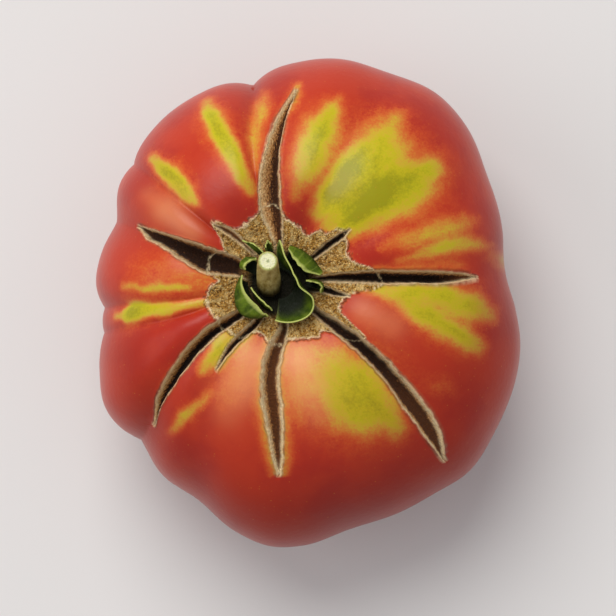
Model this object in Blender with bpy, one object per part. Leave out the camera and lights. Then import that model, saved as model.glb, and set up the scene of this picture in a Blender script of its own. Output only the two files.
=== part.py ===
"""Ribbed beefsteak tomato, as picked: the fruit, its stub of stem and the sepals of its curled calyx.

Lengths below are in millimetres and angles in degrees, anticlockwise from +X as seen from above.
The tomato stands on the small flat spot at its blossom end, with +Z up through the stem.
The origin is on the ground, under the middle of the whole tomato's outline.
"""

import math

import bmesh
import bpy
import numpy as np

MM = 0.001

# The fruit.
STEM_AXIS = (-6.41, 4.34)  # where the stem's axis stands, off the middle of the outline
BASE_CENTRE = (-1.0, 0.5)  # where the blossom end touches the ground
EQUATOR_Z = 32.5
CROWN_HEIGHT = 36.0  # from the equator to the crown, before the stem's hollow is sunk
BASE_HEIGHT = 33.4  # a little more than EQUATOR_Z, and cut off at the ground as the flat spot
CROWN_FULLNESS = 2.25
BASE_FULLNESS = 2.3
HOLLOW_DEPTH = 9.5
HOLLOW_RADIUS = 17.0
SCAR_RADIUS = 2.6  # the blossom scar in the middle of the flat spot
SCAR_DEPTH = 0.9

# How far the skin reaches from the stem's axis at the equator: (angle, reach).
OUTLINE = (
    (0, 54.4), (14, 54.3), (28, 55.6), (40, 57.6), (50, 58.2), (62, 56.5), (76, 55.0), (87, 52.6),
    (98, 50.4), (110, 49.2), (124, 48.1), (134, 46.8), (143, 45.6), (150, 44.9), (160, 43.9),
    (170, 43.4), (179, 43.7), (188, 43.6), (197, 44.6), (205, 47.2), (214, 50.4), (222, 51.4),
    (230, 51.8), (240, 53.6), (250, 55.4), (260, 59.4), (268, 61.8), (275, 61.8), (285, 60.4),
    (296, 60.7), (306, 61.2), (315, 62.6), (326, 61.2), (338, 59.8), (348, 58.1), (355, 56.0),
)

# Furrows between the lobes: (angle on the shoulder, angle at the equator, depth on the shoulder,
# depth at the equator, half-width in degrees, share of its depth that is a sharp crease).
FURROWS = (
    (4, 6, 1.6, 0.8, 9, 0.0),
    (30, 28, 0.6, 0.5, 8, 0.0),
    (64, 66, 0.9, 0.3, 7, 0.0),
    (94, 88, 1.5, 0.3, 8, 0.0),
    (103, 98.5, 2.0, 3.0, 6, 0.6),
    (141, 141, 1.9, 1.2, 5.5, 0.7),
    (160, 159.5, 1.6, 2.6, 8, 0.2),
    (190, 187.5, 1.3, 1.7, 5, 0.6),
    (198, 195, 1.7, 1.0, 5, 0.7),
    (217, 228, 2.0, 2.4, 7, 0.4),
    (235, 247, 0.8, 0.7, 7, 0.0),
    (267, 268, 1.0, 0.0, 9, 0.0),
    (300, 288, 0.0, 0.4, 9, 0.0),
    (322, 316, 1.8, 0.0, 9, 0.0),
    (349, 352, 0.8, 0.5, 8, 0.0),
)
FURROW_FADE = ((0.2, 0.0), (0.45, 1.0), (0.7, 1.0))  # share of the reach, share of shoulder depth
SHOULDER_END = 0.45  # share of the reach where a furrow starts to turn to its place at the equator
CREASE_FALL = 2.2  # how steeply the walls of a sharp crease fall
UNDERSIDE_FADE = ((1.0, 1.0), (1.35, 0.8), (1.6, 0.3), (1.74, 0.0))

# Growth cracks that run out from the stem: points (reach from the axis, angle, half-width, depth).
CRACKS = {
    "east": ((9, 6.5, 0.6, 2.0), (12, 6, 0.9, 3.0), (19, 4.4, 1.4, 4.0), (31, 2.8, 1.4, 4.2),
             (39.5, 2.3, 1.3, 3.4), (44.5, 2.2, 0.5, 1.0)),
    "small_north_east": ((9.5, 38, 0.6, 1.4), (14.4, 38, 0.8, 2.2), (17.5, 37.6, 0.7, 1.8),
                         (19.3, 37.6, 0.3, 0.4)),
    "north": ((9.5, 92, 1.0, 1.6), (13.6, 95.5, 1.9, 2.6), (17, 96.7, 2.4, 3.4), (23.3, 96, 2.2, 3.6),
              (29.5, 94, 1.85, 3.0), (34.8, 91.5, 1.4, 2.4), (39, 89.2, 0.85, 1.6),
              (44.5, 85.5, 0.3, 0.5)),
    "small_north_west": ((10, 131.5, 0.4, 0.8), (14.5, 133.4, 0.75, 1.4), (17.2, 135.5, 0.85, 1.4),
                         (19.6, 138.2, 0.3, 0.4)),
    "west": ((9.5, 159.5, 1.8, 2.6), (12, 160.5, 2.5, 3.6), (15.3, 161.8, 2.85, 4.2), (22, 161, 2.3, 4.0),
             (29, 159.7, 1.6, 3.0), (33.8, 159.4, 1.0, 1.8), (36.2, 158.3, 0.3, 0.5)),
    "south_west": ((9.5, 217.5, 0.9, 2.0), (12.5, 216.9, 1.2, 3.0), (17.5, 215.5, 1.4, 3.8),
                   (23, 216.7, 1.6, 4.0), (28.5, 219, 1.5, 3.8), (34.7, 221.9, 1.35, 3.2),
                   (39.7, 224.2, 0.95, 2.2), (44.5, 228.0, 0.3, 0.5)),
    "small_south_west": ((9.8, 240, 0.9, 1.8), (12.5, 236.5, 0.95, 2.2), (15, 233.7, 0.85, 2.2),
                         (19.5, 232.6, 0.5, 1.4), (23.6, 233.6, 0.25, 0.3)),
    "south": ((9.8, 276, 0.9, 2.0), (13.5, 268, 1.75, 2.6), (16.7, 264.9, 1.9, 2.6), (21.4, 264.2, 1.95, 2.6),
              (29, 266.9, 2.2, 2.4), (35.7, 268.7, 1.6, 1.8), (40, 269.4, 1.15, 1.2), (43.2, 269.8, 0.4, 0.4)),
    "south_east": ((10, 322, 0.8, 2.0), (16.4, 322.9, 1.4, 3.4), (25.5, 322.3, 1.6, 3.8), (35.8, 319.5, 2.0, 3.2),
                   (41, 317.8, 2.3, 2.8), (46.7, 316.4, 2.3, 2.4), (51.5, 314.8, 1.6, 1.6),
                   (55, 313, 0.4, 0.4)),
    "small_east": ((9, 353, 0.9, 1.8), (12.4, 350.3, 0.75, 1.6), (15.4, 349.8, 0.3, 0.3)),
}
CRACK_FADE = 1.5  # how far past its last point a crack dies out
CRACK_EASE = 6.0  # how far from a crack's ends the columns are back in the even layout
CRACK_WIDEST = 11.0  # the most degrees that half a crack may take from the even layout

# How finely the fruit is laid out.
LIP_STEPS = (-1.0, -0.5, 0.0, 0.5, 1.0)  # columns across a crack, in half-widths
LIP_SPREAD = 2.4  # a crack's half-width in the even layout of columns
COLUMN_STEP = 5.6  # about how many degrees apart the columns between cracks are
CROWN_RINGS = 21  # from the crown to the equator
SIDE_RINGS = 17  # from the equator to the blossom end
SHARP_ANGLE = 50  # edges that turn more than this stay sharp

# The stem and its calyx. Heights are over the floor of the hollow, and reaches from the stem's axis.
STEM_SIDES = 16
STEM_FOOT = (-2.4, -0.4)
STEM_LEAN_X = -0.03  # how far the stem leans towards +X for each millimetre towards +Y
# The stem's rings: (height, lean towards +Y, radius).
STEM_RINGS = (
    (1.0, 0.0, 2.1), (1.4, 0.0, 2.5), (2.0, 0.0, 2.75), (2.8, 0.15, 2.75), (4.2, 0.6, 2.72),
    (6.4, 1.7, 2.68), (9.2, 3.4, 2.5), (11.6, 4.85, 2.3), (12.3, 5.25, 2.22), (12.6, 5.35, 1.95),
)
SEPAL_THICKNESS = 0.7
SEPAL_LENGTH_CELLS = 12  # faces along a sepal
SEPAL_RISE_CELLS = 7  # faces from its root to its rim
SEPAL_ROOT_HEIGHT = 2.2
BELLY_GAP = 1.7  # how far a sepal's belly stays over the skin below it
# Each sepal stands on its root and curls over from its belly to its rim. The root's reach comes
# first, then rows along it: (root angle, rim angle, belly reach, rim reach, rim height).
SEPALS = {
    "sepal_north": (5.4, (
        (113, 111, 8.0, 8.8, 4.6), (107, 106, 8.8, 9.9, 5.4), (101, 102, 8.4, 9.0, 5.0))),
    "sepal_north_east": (5.9, (
        (74, 76, 8.4, 7.7, 5.2), (62, 61, 8.8, 6.4, 6.6), (46, 40, 9.0, 6.0, 7.2),
        (32, 22, 9.3, 6.6, 6.8), (22, 11, 9.6, 9.4, 5.5))),
    "sepal_east": (6.0, (
        (8, 6, 6.9, 5.8, 7.2), (4, 3, 8.4, 7.4, 6.9), (0, -2, 9.3, 9.2, 6.0), (-6, -13, 9.5, 9.4, 5.2))),
    "sepal_south_east": (3.4, (
        (100, 90, 7.2, 9.8, 5.8), (92, 78, 5.6, 6.2, 7.4), (74, 52, 4.2, 4.5, 8.2),
        (36, 26, 3.9, 3.8, 8.6), (2, -10, 4.7, 4.5, 8.5), (-24, -25, 7.0, 8.4, 7.8),
        (-50, -44, 8.2, 9.9, 7.0), (-74, -70, 8.0, 9.3, 6.2), (-94, -97, 7.4, 8.4, 5.2))),
    "sepal_south": (5.6, (
        (206, 188, 6.0, 6.5, 5.6), (218, 206, 6.1, 5.9, 6.4), (230, 226, 6.1, 5.5, 6.8),
        (242, 244, 6.1, 5.7, 6.6), (250, 255, 6.0, 6.3, 5.6))),
    "sepal_south_west": (7.2, (
        (178, 167, 8.7, 8.5, 6.2), (188, 184, 9.7, 8.5, 6.9), (202, 206, 10.7, 7.5, 7.4),
        (216, 228, 10.7, 7.1, 7.4), (230, 243, 9.0, 7.5, 7.0), (238, 251, 7.9, 7.8, 6.2))),
    "sepal_west": (5.6, (
        (138, 133, 7.8, 7.4, 5.4), (144, 141, 9.2, 8.2, 6.6), (151, 149, 9.6, 8.6, 7.0),
        (160, 158, 9.2, 8.5, 6.6))),
    "sepal_north_west": (5.5, (
        (118, 118, 7.6, 8.0, 4.8), (121, 123, 8.6, 10.4, 5.2), (124, 131, 9.6, 12.8, 5.4))),
}

COLOURS = {
    "skin": ((0.55, 0.05, 0.025), 0.35),
    "stem": ((0.36, 0.33, 0.10), 0.6),
    "sepal": ((0.13, 0.19, 0.02), 0.55),
}


def smooth_curve(points, at, closed=False):
    """Reads a smooth curve through (place, value) points; a closed one repeats every 360."""
    places = np.array([p[0] for p in points], float)
    values = np.array([p[1] for p in points], float)
    if closed:
        places = np.concatenate([places - 360, places, places + 360])
        values = np.tile(values, 3)
        at = np.mod(at, 360)
    slopes = np.gradient(values, places)
    at = np.clip(at, places[0], places[-1])
    i = np.clip(np.searchsorted(places, at, side="right") - 1, 0, len(places) - 2)
    span = places[i + 1] - places[i]
    t = (at - places[i]) / span
    bend = t * t * (3 - 2 * t)
    lead = t * (1 - t) ** 2 * span * slopes[i]
    tail = t * t * (1 - t) * span * slopes[i + 1]
    return values[i] * (1 - bend) + values[i + 1] * bend + lead - tail


def straight_curve(points, at):
    """Reads straight runs between (place, value) points, held at both ends."""
    return np.interp(at, [p[0] for p in points], [p[1] for p in points])


def smooth_step(low, high, at):
    """Rises from 0 at low to 1 at high, with no corner at either end."""
    t = np.clip((at - low) / (high - low), 0, 1)
    return t * t * (3 - 2 * t)


def angle_between(a, b):
    """The signed angle from b to a, from -180 to 180."""
    return np.mod(a - b + 180, 360) - 180


def body_point(angle, dip):
    """The lobeless body's skin, where dip runs from 0 at the crown to pi at the blossom end."""
    outline = smooth_curve(OUTLINE, angle, closed=True)
    share = np.sin(dip)
    reach = outline * share
    crown = dip < math.pi / 2
    fullness = np.where(crown, CROWN_FULLNESS, BASE_FULLNESS)
    rise = (1 - np.clip(share, 0, 1) ** fullness) ** (1 / fullness)
    z = EQUATOR_Z + np.where(crown, CROWN_HEIGHT, -BASE_HEIGHT) * rise
    z -= np.where(crown, HOLLOW_DEPTH * np.exp(-((reach / HOLLOW_RADIUS) ** 2)), 0)
    drift = smooth_step(math.pi / 2, math.pi, dip)
    x = STEM_AXIS[0] + (BASE_CENTRE[0] - STEM_AXIS[0]) * drift + reach * np.cos(np.radians(angle))
    y = STEM_AXIS[1] + (BASE_CENTRE[1] - STEM_AXIS[1]) * drift + reach * np.sin(np.radians(angle))
    return np.stack([x, y, z], axis=-1)


def body_normal(angle, dip):
    """The outward direction of the lobeless body's skin."""
    step = 1e-3
    dip = np.clip(dip, 2 * step, math.pi - 2 * step)
    down = body_point(angle, dip + step) - body_point(angle, dip - step)
    around = body_point(angle + step, dip) - body_point(angle - step, dip)
    normal = np.cross(down, around)
    return normal / np.linalg.norm(normal, axis=-1, keepdims=True)


def furrow_depth(angle, share):
    """How deep the furrows between the lobes are, where share is 1 at the equator."""
    total = np.zeros(np.broadcast(angle, share).shape)
    for shoulder, equator, shoulder_depth, equator_depth, width, crease in FURROWS:
        place = smooth_step(SHOULDER_END, 1.0, share)
        off = np.abs(angle_between(angle, shoulder + (equator - shoulder) * place)) / width
        across = (1 - crease) * np.exp(-off * off) + crease * np.exp(-CREASE_FALL * off)
        along = shoulder_depth * straight_curve(FURROW_FADE, share) * (1 - place)
        along += equator_depth * place * straight_curve(UNDERSIDE_FADE, share)
        total += across * along
    return total


def home_angle(crack):
    """A crack's own angle, which is where it runs half-way along."""
    return crack[len(crack) // 2][1]


def crack_path(crack, reach):
    """A crack's angle, half-width and depth at a reach from the stem's axis."""
    angle, half, depth = (smooth_curve([(p[0], p[k]) for p in crack], reach) for k in (1, 2, 3))
    first, last = crack[0][0], crack[-1][0]
    fade = smooth_step(first - 2 * CRACK_FADE, first, reach) * (1 - smooth_step(last, last + CRACK_FADE, reach))
    return angle, half, depth * fade


def crack_depth(angle, reach):
    """How deep the growth cracks are."""
    total = np.zeros(np.broadcast(angle, reach).shape)
    for crack in CRACKS.values():
        centre, half, depth = crack_path(crack, reach)
        off = np.abs(np.radians(angle_between(angle, centre))) * reach / half
        total = np.maximum(total, depth * np.clip(1 - off**2, 0, 1))
    return total


def fruit_columns():
    """The angles of the columns in an even layout, closest together at each crack's own angle."""
    homes = sorted(home_angle(crack) for crack in CRACKS.values())
    columns = []
    for home, following in zip(homes, homes[1:] + [homes[0] + 360]):
        columns += [home + LIP_SPREAD * step for step in LIP_STEPS]
        gap = following - home - 2 * LIP_SPREAD
        count = max(1, round(gap / COLUMN_STEP))
        columns += [home + LIP_SPREAD + gap * k / count for k in range(1, count)]
    return np.array(columns)


def follow_cracks(columns, dip):
    """The columns' angles on one ring, moved so that they run along the cracks' lips."""
    knots = []
    for crack in CRACKS.values():
        home = home_angle(crack)
        reach = smooth_curve(OUTLINE, home, closed=True) * math.sin(dip)
        outside = smooth_step(0, CRACK_EASE, max(crack[0][0] - reach, reach - crack[-1][0]))
        if dip > math.pi / 2:
            outside = 1.0
        centre, half, _ = crack_path(crack, reach)
        half = min(math.degrees(half / max(reach, 1.0)), CRACK_WIDEST)
        centre = home + (centre - home) * (1 - outside)
        half = half * (1 - outside) + LIP_SPREAD * outside
        knots += [(home - LIP_SPREAD, centre - half), (home, centre), (home + LIP_SPREAD, centre + half)]
    knots.sort()
    knots = [(a - 360, b - 360) for a, b in knots] + knots + [(a + 360, b + 360) for a, b in knots]
    return straight_curve(knots, columns)


def fruit_points():
    """The skin's points, ring by ring from the crown to the blossom end, in millimetres."""
    columns = fruit_columns()
    crown = np.linspace(0, 1, CROWN_RINGS + 1)[1:] * math.pi / 2
    side = math.pi / 2 * (1 + np.linspace(0, 1, SIDE_RINGS + 1)[1:-1])
    rings = []
    for dip in [*crown, *side]:
        angle = follow_cracks(columns, dip)
        share = math.sin(dip) if dip < math.pi / 2 else 2 - math.sin(dip)
        reach = smooth_curve(OUTLINE, angle, closed=True) * math.sin(dip)
        depth = furrow_depth(angle, share)
        if dip < math.pi / 2:
            depth = depth + crack_depth(angle, reach)
        dips = np.full(len(angle), dip)
        points = body_point(angle, dips) - body_normal(angle, dips) * depth[:, None]
        points[:, 2] = np.maximum(points[:, 2], 0)
        rings.append(points)
    return rings


def add_mesh(name, points, faces, colour):
    """One named object from points in millimetres, with its faces turned outwards."""
    mesh = bpy.data.meshes.new(name)
    mesh.from_pydata([tuple(float(c) * MM for c in p) for p in points], [], faces)
    work = bmesh.new()
    work.from_mesh(mesh)
    bmesh.ops.recalc_face_normals(work, faces=work.faces)
    work.to_mesh(mesh)
    work.free()
    mesh.shade_smooth()
    mesh.set_sharp_from_angle(angle=math.radians(SHARP_ANGLE))
    mesh.materials.append(material(colour))
    thing = bpy.data.objects.new(name, mesh)
    bpy.context.scene.collection.objects.link(thing)
    return thing


def material(name):
    """A Principled material with the named colour and roughness, made once."""
    made = bpy.data.materials.get(name)
    if made is None:
        colour, roughness = COLOURS[name]
        made = bpy.data.materials.new(name)
        made.use_nodes = True
        shader = made.node_tree.nodes["Principled BSDF"]
        shader.inputs["Base Color"].default_value = (*colour, 1)
        shader.inputs["Roughness"].default_value = roughness
        shader.inputs["Metallic"].default_value = 0
    return made


def skin_faces(rings, sides, first, last):
    """Quads between rings of points, and a fan of triangles to the single point at each end."""
    faces = []
    for k in range(sides):
        after = (k + 1) % sides
        faces.append((first, k, after))
        for ring in range(rings - 1):
            low, high = ring * sides, (ring + 1) * sides
            faces.append((low + k, high + k, high + after, low + after))
        faces.append((last, (rings - 1) * sides + after, (rings - 1) * sides + k))
    return faces


def build_fruit():
    """The whole fruit: lobes, furrows, growth cracks, the stem's hollow and the flat spot."""
    rings = fruit_points()
    sides = len(rings[0])
    crown = rings[0].mean(axis=0)
    scar = np.array([*BASE_CENTRE, SCAR_DEPTH])
    rim = np.array([BASE_CENTRE[0], BASE_CENTRE[1], 0.0])
    turn = np.radians(fruit_columns())
    rings.append(rim + SCAR_RADIUS * np.stack([np.cos(turn), np.sin(turn), 0 * turn], axis=1))
    points = [*np.concatenate(rings), crown, scar]
    faces = skin_faces(len(rings), sides, len(points) - 2, len(points) - 1)
    return add_mesh("fruit", points, faces, "skin")


def hollow_floor():
    """The middle of the hollow's floor, where the stem's axis meets the skin."""
    return np.array([STEM_AXIS[0], STEM_AXIS[1], EQUATOR_Z + CROWN_HEIGHT - HOLLOW_DEPTH])


def build_stem():
    """The receptacle and the leaning stub of stem, one piece, cut off level at the top."""
    foot = hollow_floor() + (*STEM_FOOT, 0)
    turn = np.linspace(0, 2 * math.pi, STEM_SIDES, endpoint=False)
    rings = []
    for height, lean, radius in STEM_RINGS:
        centre = foot + (lean * STEM_LEAN_X, lean, height)
        rings.append(centre + radius * np.stack([np.cos(turn), np.sin(turn), 0 * turn], axis=1))
    points = [*np.concatenate(rings), rings[0].mean(axis=0), rings[-1].mean(axis=0)]
    faces = skin_faces(len(rings), STEM_SIDES, len(points) - 2, len(points) - 1)
    return add_mesh("stem", points, faces, "stem")


def skin_height(angle, reach):
    """The skin's height over the hollow's floor at an angle and a reach inside the outline."""
    outline = smooth_curve(OUTLINE, angle, closed=True)
    skin = body_point(angle, np.arcsin(reach / outline))
    return skin[..., 2] - hollow_floor()[2]


def build_sepal(name, root_reach, rows):
    """One sepal: a blade that rises from its root, bellies out over the skin and curls to its rim."""
    floor = hollow_floor()
    along = np.linspace(0, 1, len(rows))
    points = []
    for i in range(SEPAL_LENGTH_CELLS + 1):
        s = i / SEPAL_LENGTH_CELLS
        row = [smooth_curve(list(zip(along, column)), s) for column in zip(*rows)]
        root_angle, rim_angle, belly_reach, rim_reach, rim_height = row
        belly_height = skin_height((root_angle + rim_angle) / 2, belly_reach) + BELLY_GAP
        for j in range(SEPAL_RISE_CELLS + 1):
            t = j / SEPAL_RISE_CELLS
            root, belly, rim = (1 - t) ** 2, 2 * t * (1 - t), t * t
            angle = math.radians(root_angle + (rim_angle - root_angle) * t)
            reach = root * root_reach + belly * (2 * belly_reach - (root_reach + rim_reach) / 2) + rim * rim_reach
            middle = 2 * belly_height - (SEPAL_ROOT_HEIGHT + rim_height) / 2
            height = root * SEPAL_ROOT_HEIGHT + belly * middle + rim * rim_height
            points.append(floor + (reach * math.cos(angle), reach * math.sin(angle), height))
    row = SEPAL_RISE_CELLS + 1
    faces = [
        (i * row + j, i * row + j + 1, (i + 1) * row + j + 1, (i + 1) * row + j)
        for i in range(SEPAL_LENGTH_CELLS)
        for j in range(SEPAL_RISE_CELLS)
    ]
    sepal = add_mesh(name, points, faces, "sepal")
    wall = sepal.modifiers.new("blade", "SOLIDIFY")
    wall.thickness = SEPAL_THICKNESS * MM
    wall.offset = 0
    return sepal


def main():
    """Clears the scene and builds the tomato."""
    for thing in list(bpy.data.objects):
        bpy.data.objects.remove(thing)
    build_fruit()
    build_stem()
    for name, (root_reach, rows) in SEPALS.items():
        build_sepal(name, root_reach, rows)


main()
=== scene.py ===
"""Looks of a ribbed beefsteak tomato: its fruit, cut stem and curled calyx, on a pale studio floor.

Lengths are in millimetres and angles in degrees, anticlockwise from +X as seen from above, unless a
name says otherwise. A reach is a distance from the stem's axis, measured in plan.
"""

import functools
import itertools
import logging
import math
from dataclasses import dataclass
from enum import Enum

import bpy
import numpy as np
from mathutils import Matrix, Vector


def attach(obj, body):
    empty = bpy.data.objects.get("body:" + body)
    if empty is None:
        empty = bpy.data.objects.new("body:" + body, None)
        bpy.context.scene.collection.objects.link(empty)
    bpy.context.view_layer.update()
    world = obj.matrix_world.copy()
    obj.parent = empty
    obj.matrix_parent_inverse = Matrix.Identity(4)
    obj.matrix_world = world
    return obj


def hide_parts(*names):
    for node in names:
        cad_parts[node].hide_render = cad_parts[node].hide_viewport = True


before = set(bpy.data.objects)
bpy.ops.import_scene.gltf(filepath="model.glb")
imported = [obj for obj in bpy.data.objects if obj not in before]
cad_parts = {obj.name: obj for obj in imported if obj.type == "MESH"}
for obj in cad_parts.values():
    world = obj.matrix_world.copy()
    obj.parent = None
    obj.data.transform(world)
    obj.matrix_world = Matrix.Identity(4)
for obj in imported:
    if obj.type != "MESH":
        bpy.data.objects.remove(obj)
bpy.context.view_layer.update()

MM = 0.001
BODY = "root"
log = logging.getLogger("tomato")

Array = np.ndarray
Rows = tuple[tuple[float, ...], ...]
Colour = tuple[float, float, float]
Socket = bpy.types.NodeSocket
Source = object  # what a socket is fed from: another socket, a number, or a tuple

# The stirring numbers of the noise's hash: large odd numbers with no pattern of their own.
HASH_STEPS = np.array([374761393, 668265263, 1440662683])
HASH_SEED_STEP = 974634777
HASH_STIR = 1274126177
HASH_MASK = 0x7FFFFFFF
LAYER_TOTAL = 1.6  # brings the sum of a few halving layers back to about -1 to 1


# Curves and noise that the pieces share.


def smooth_curve(points: Rows, at: Array | float, closed: bool = False) -> Array:
    """Reads a smooth curve through points.

    Args:
        points: (place, value) pairs in rising order of place.
        at: The places to read.
        closed: Whether the curve repeats every 360.

    Returns:
        The value at each place, held at the ends of an open curve.
    """
    places = np.array([p[0] for p in points], float)
    values = np.array([p[1] for p in points], float)
    if closed:
        places = np.concatenate([places - 360, places, places + 360])
        values = np.tile(values, 3)
        at = np.mod(at, 360)
    slopes = np.gradient(values, places)
    at = np.clip(at, places[0], places[-1])
    i = np.clip(np.searchsorted(places, at, side="right") - 1, 0, len(places) - 2)
    span = places[i + 1] - places[i]
    t = (at - places[i]) / span
    bend = t * t * (3 - 2 * t)
    lead = t * (1 - t) ** 2 * span * slopes[i]
    tail = t * t * (1 - t) * span * slopes[i + 1]
    return values[i] * (1 - bend) + values[i + 1] * bend + lead - tail


def straight_curve(points: Rows, at: Array | float) -> Array:
    """Reads straight runs between points.

    Args:
        points: (place, value) pairs in rising order of place.
        at: The places to read.

    Returns:
        The value at each place, held at both ends.
    """
    return np.interp(at, [p[0] for p in points], [p[1] for p in points])


def smooth_step(low: float, high: float, at: Array | float) -> Array:
    """Rises from 0 to 1 with no corner at either end.

    Args:
        low: Where the rise starts.
        high: Where it ends.
        at: The places to read.

    Returns:
        The height of the rise at each place.
    """
    t = np.clip((at - low) / (high - low), 0, 1)
    return t * t * (3 - 2 * t)


def bell(at: Array) -> Array:
    """Reads a bump of height 1 at 0 that has died out by about 2."""
    return np.exp(-at * at)


def angle_between(a: Array | float, b: Array | float) -> Array:
    """Gives the signed angle from b to a, from -180 to 180."""
    return np.mod(a - b + 180, 360) - 180


def plan(angle: Array | float, reach: Array | float) -> Array:
    """Turns an angle and a reach into a plan position.

    Args:
        angle: The angle.
        reach: The distance from the stem's axis.

    Returns:
        The position from the stem's axis, with x and y in the last axis.
    """
    turn = np.radians(angle)
    return np.stack([reach * np.cos(turn), reach * np.sin(turn)], axis=-1)


def value_noise(points: Array, seed: int) -> Array:
    """Smooth random values on a lattice of unit cells.

    Args:
        points: Positions, with three coordinates in the last axis.
        seed: Picks one of many patterns.

    Returns:
        A value from -1 to 1 for each position.
    """
    cell = np.floor(points).astype(np.int64)
    part = points - cell
    part = part * part * (3 - 2 * part)
    total = np.zeros(points.shape[:-1])
    for corner in itertools.product((0, 1), repeat=3):
        place = cell + np.array(corner)
        mixed = (place * HASH_STEPS).sum(axis=-1) + seed * HASH_SEED_STEP
        mixed = mixed & HASH_MASK
        mixed = (mixed ^ (mixed >> 13)) * HASH_STIR & HASH_MASK
        mixed = (mixed ^ (mixed >> 15)) & 0xFFFFFF
        share = np.prod(np.where(np.array(corner) == 1, part, 1 - part), axis=-1)
        total += share * (mixed / 0x7FFFFF - 1)
    return total


def layered_noise(points: Array, seed: int, layers: int = 3) -> Array:
    """Adds layers of value noise, each half the size and half the strength of the last.

    Args:
        points: Positions, with three coordinates in the last axis.
        seed: Picks the first layer's pattern.
        layers: How many layers there are.

    Returns:
        A value from about -1 to 1 for each position.
    """
    total = np.zeros(points.shape[:-1])
    for layer in range(layers):
        total += value_noise(points * 2**layer, seed + layer) / 2**layer
    return total / LAYER_TOTAL


# Small helpers for meshes, used by every piece.


def select_only(thing: bpy.types.Object) -> None:
    """Makes one object the selected and active one.

    Args:
        thing: The object.
    """
    bpy.ops.object.select_all(action="DESELECT")
    thing.select_set(True)
    bpy.context.view_layer.objects.active = thing


def vertex_places(thing: bpy.types.Object) -> Array:
    """Reads where a mesh's vertices are.

    Args:
        thing: The object.

    Returns:
        One row of three for each vertex, in metres.
    """
    places = np.empty(len(thing.data.vertices) * 3, np.float32)
    thing.data.vertices.foreach_get("co", places)
    return places.reshape(-1, 3).astype(float)


def reshape(thing: bpy.types.Object, points: Array) -> None:
    """Puts a mesh's vertices at points in millimetres."""
    thing.data.vertices.foreach_set("co", (points * MM).astype(np.float32).ravel())
    thing.data.update()


def paint(thing: bpy.types.Object, name: str, values: Array) -> None:
    """Stores a number or a vector for each vertex, for the materials to read.

    Args:
        thing: The object to paint.
        name: The name that the materials read.
        values: One number, or one row of three, for each vertex.
    """
    kind = "FLOAT" if values.ndim == 1 else "FLOAT_VECTOR"
    layer = thing.data.attributes.new(name, kind, "POINT")
    layer.data.foreach_set("value" if values.ndim == 1 else "vector", values.astype(np.float32).ravel())


def apply_modifiers(thing: bpy.types.Object) -> None:
    """Applies every modifier on an object, in order.

    Args:
        thing: The object.
    """
    select_only(thing)
    for modifier in list(thing.modifiers):
        bpy.ops.object.modifier_apply(modifier=modifier.name)


def finish_piece(thing: bpy.types.Object, node: str, material: bpy.types.Material) -> None:
    """Smooths a finished piece, dresses it and hands it to the frame.

    Args:
        thing: The finished piece.
        node: The CAD node whose place it takes.
        material: The piece's finish.
    """
    select_only(thing)
    bpy.ops.object.mode_set(mode="EDIT")
    bpy.ops.mesh.select_all(action="SELECT")
    bpy.ops.mesh.normals_make_consistent(inside=False)
    bpy.ops.object.mode_set(mode="OBJECT")
    bpy.ops.object.shade_smooth()
    thing.data.materials.clear()
    thing.data.materials.append(material)
    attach(thing, BODY)
    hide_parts(node)
    log.info("%s: %d faces", thing.name, len(thing.data.polygons))


# Materials.


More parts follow.
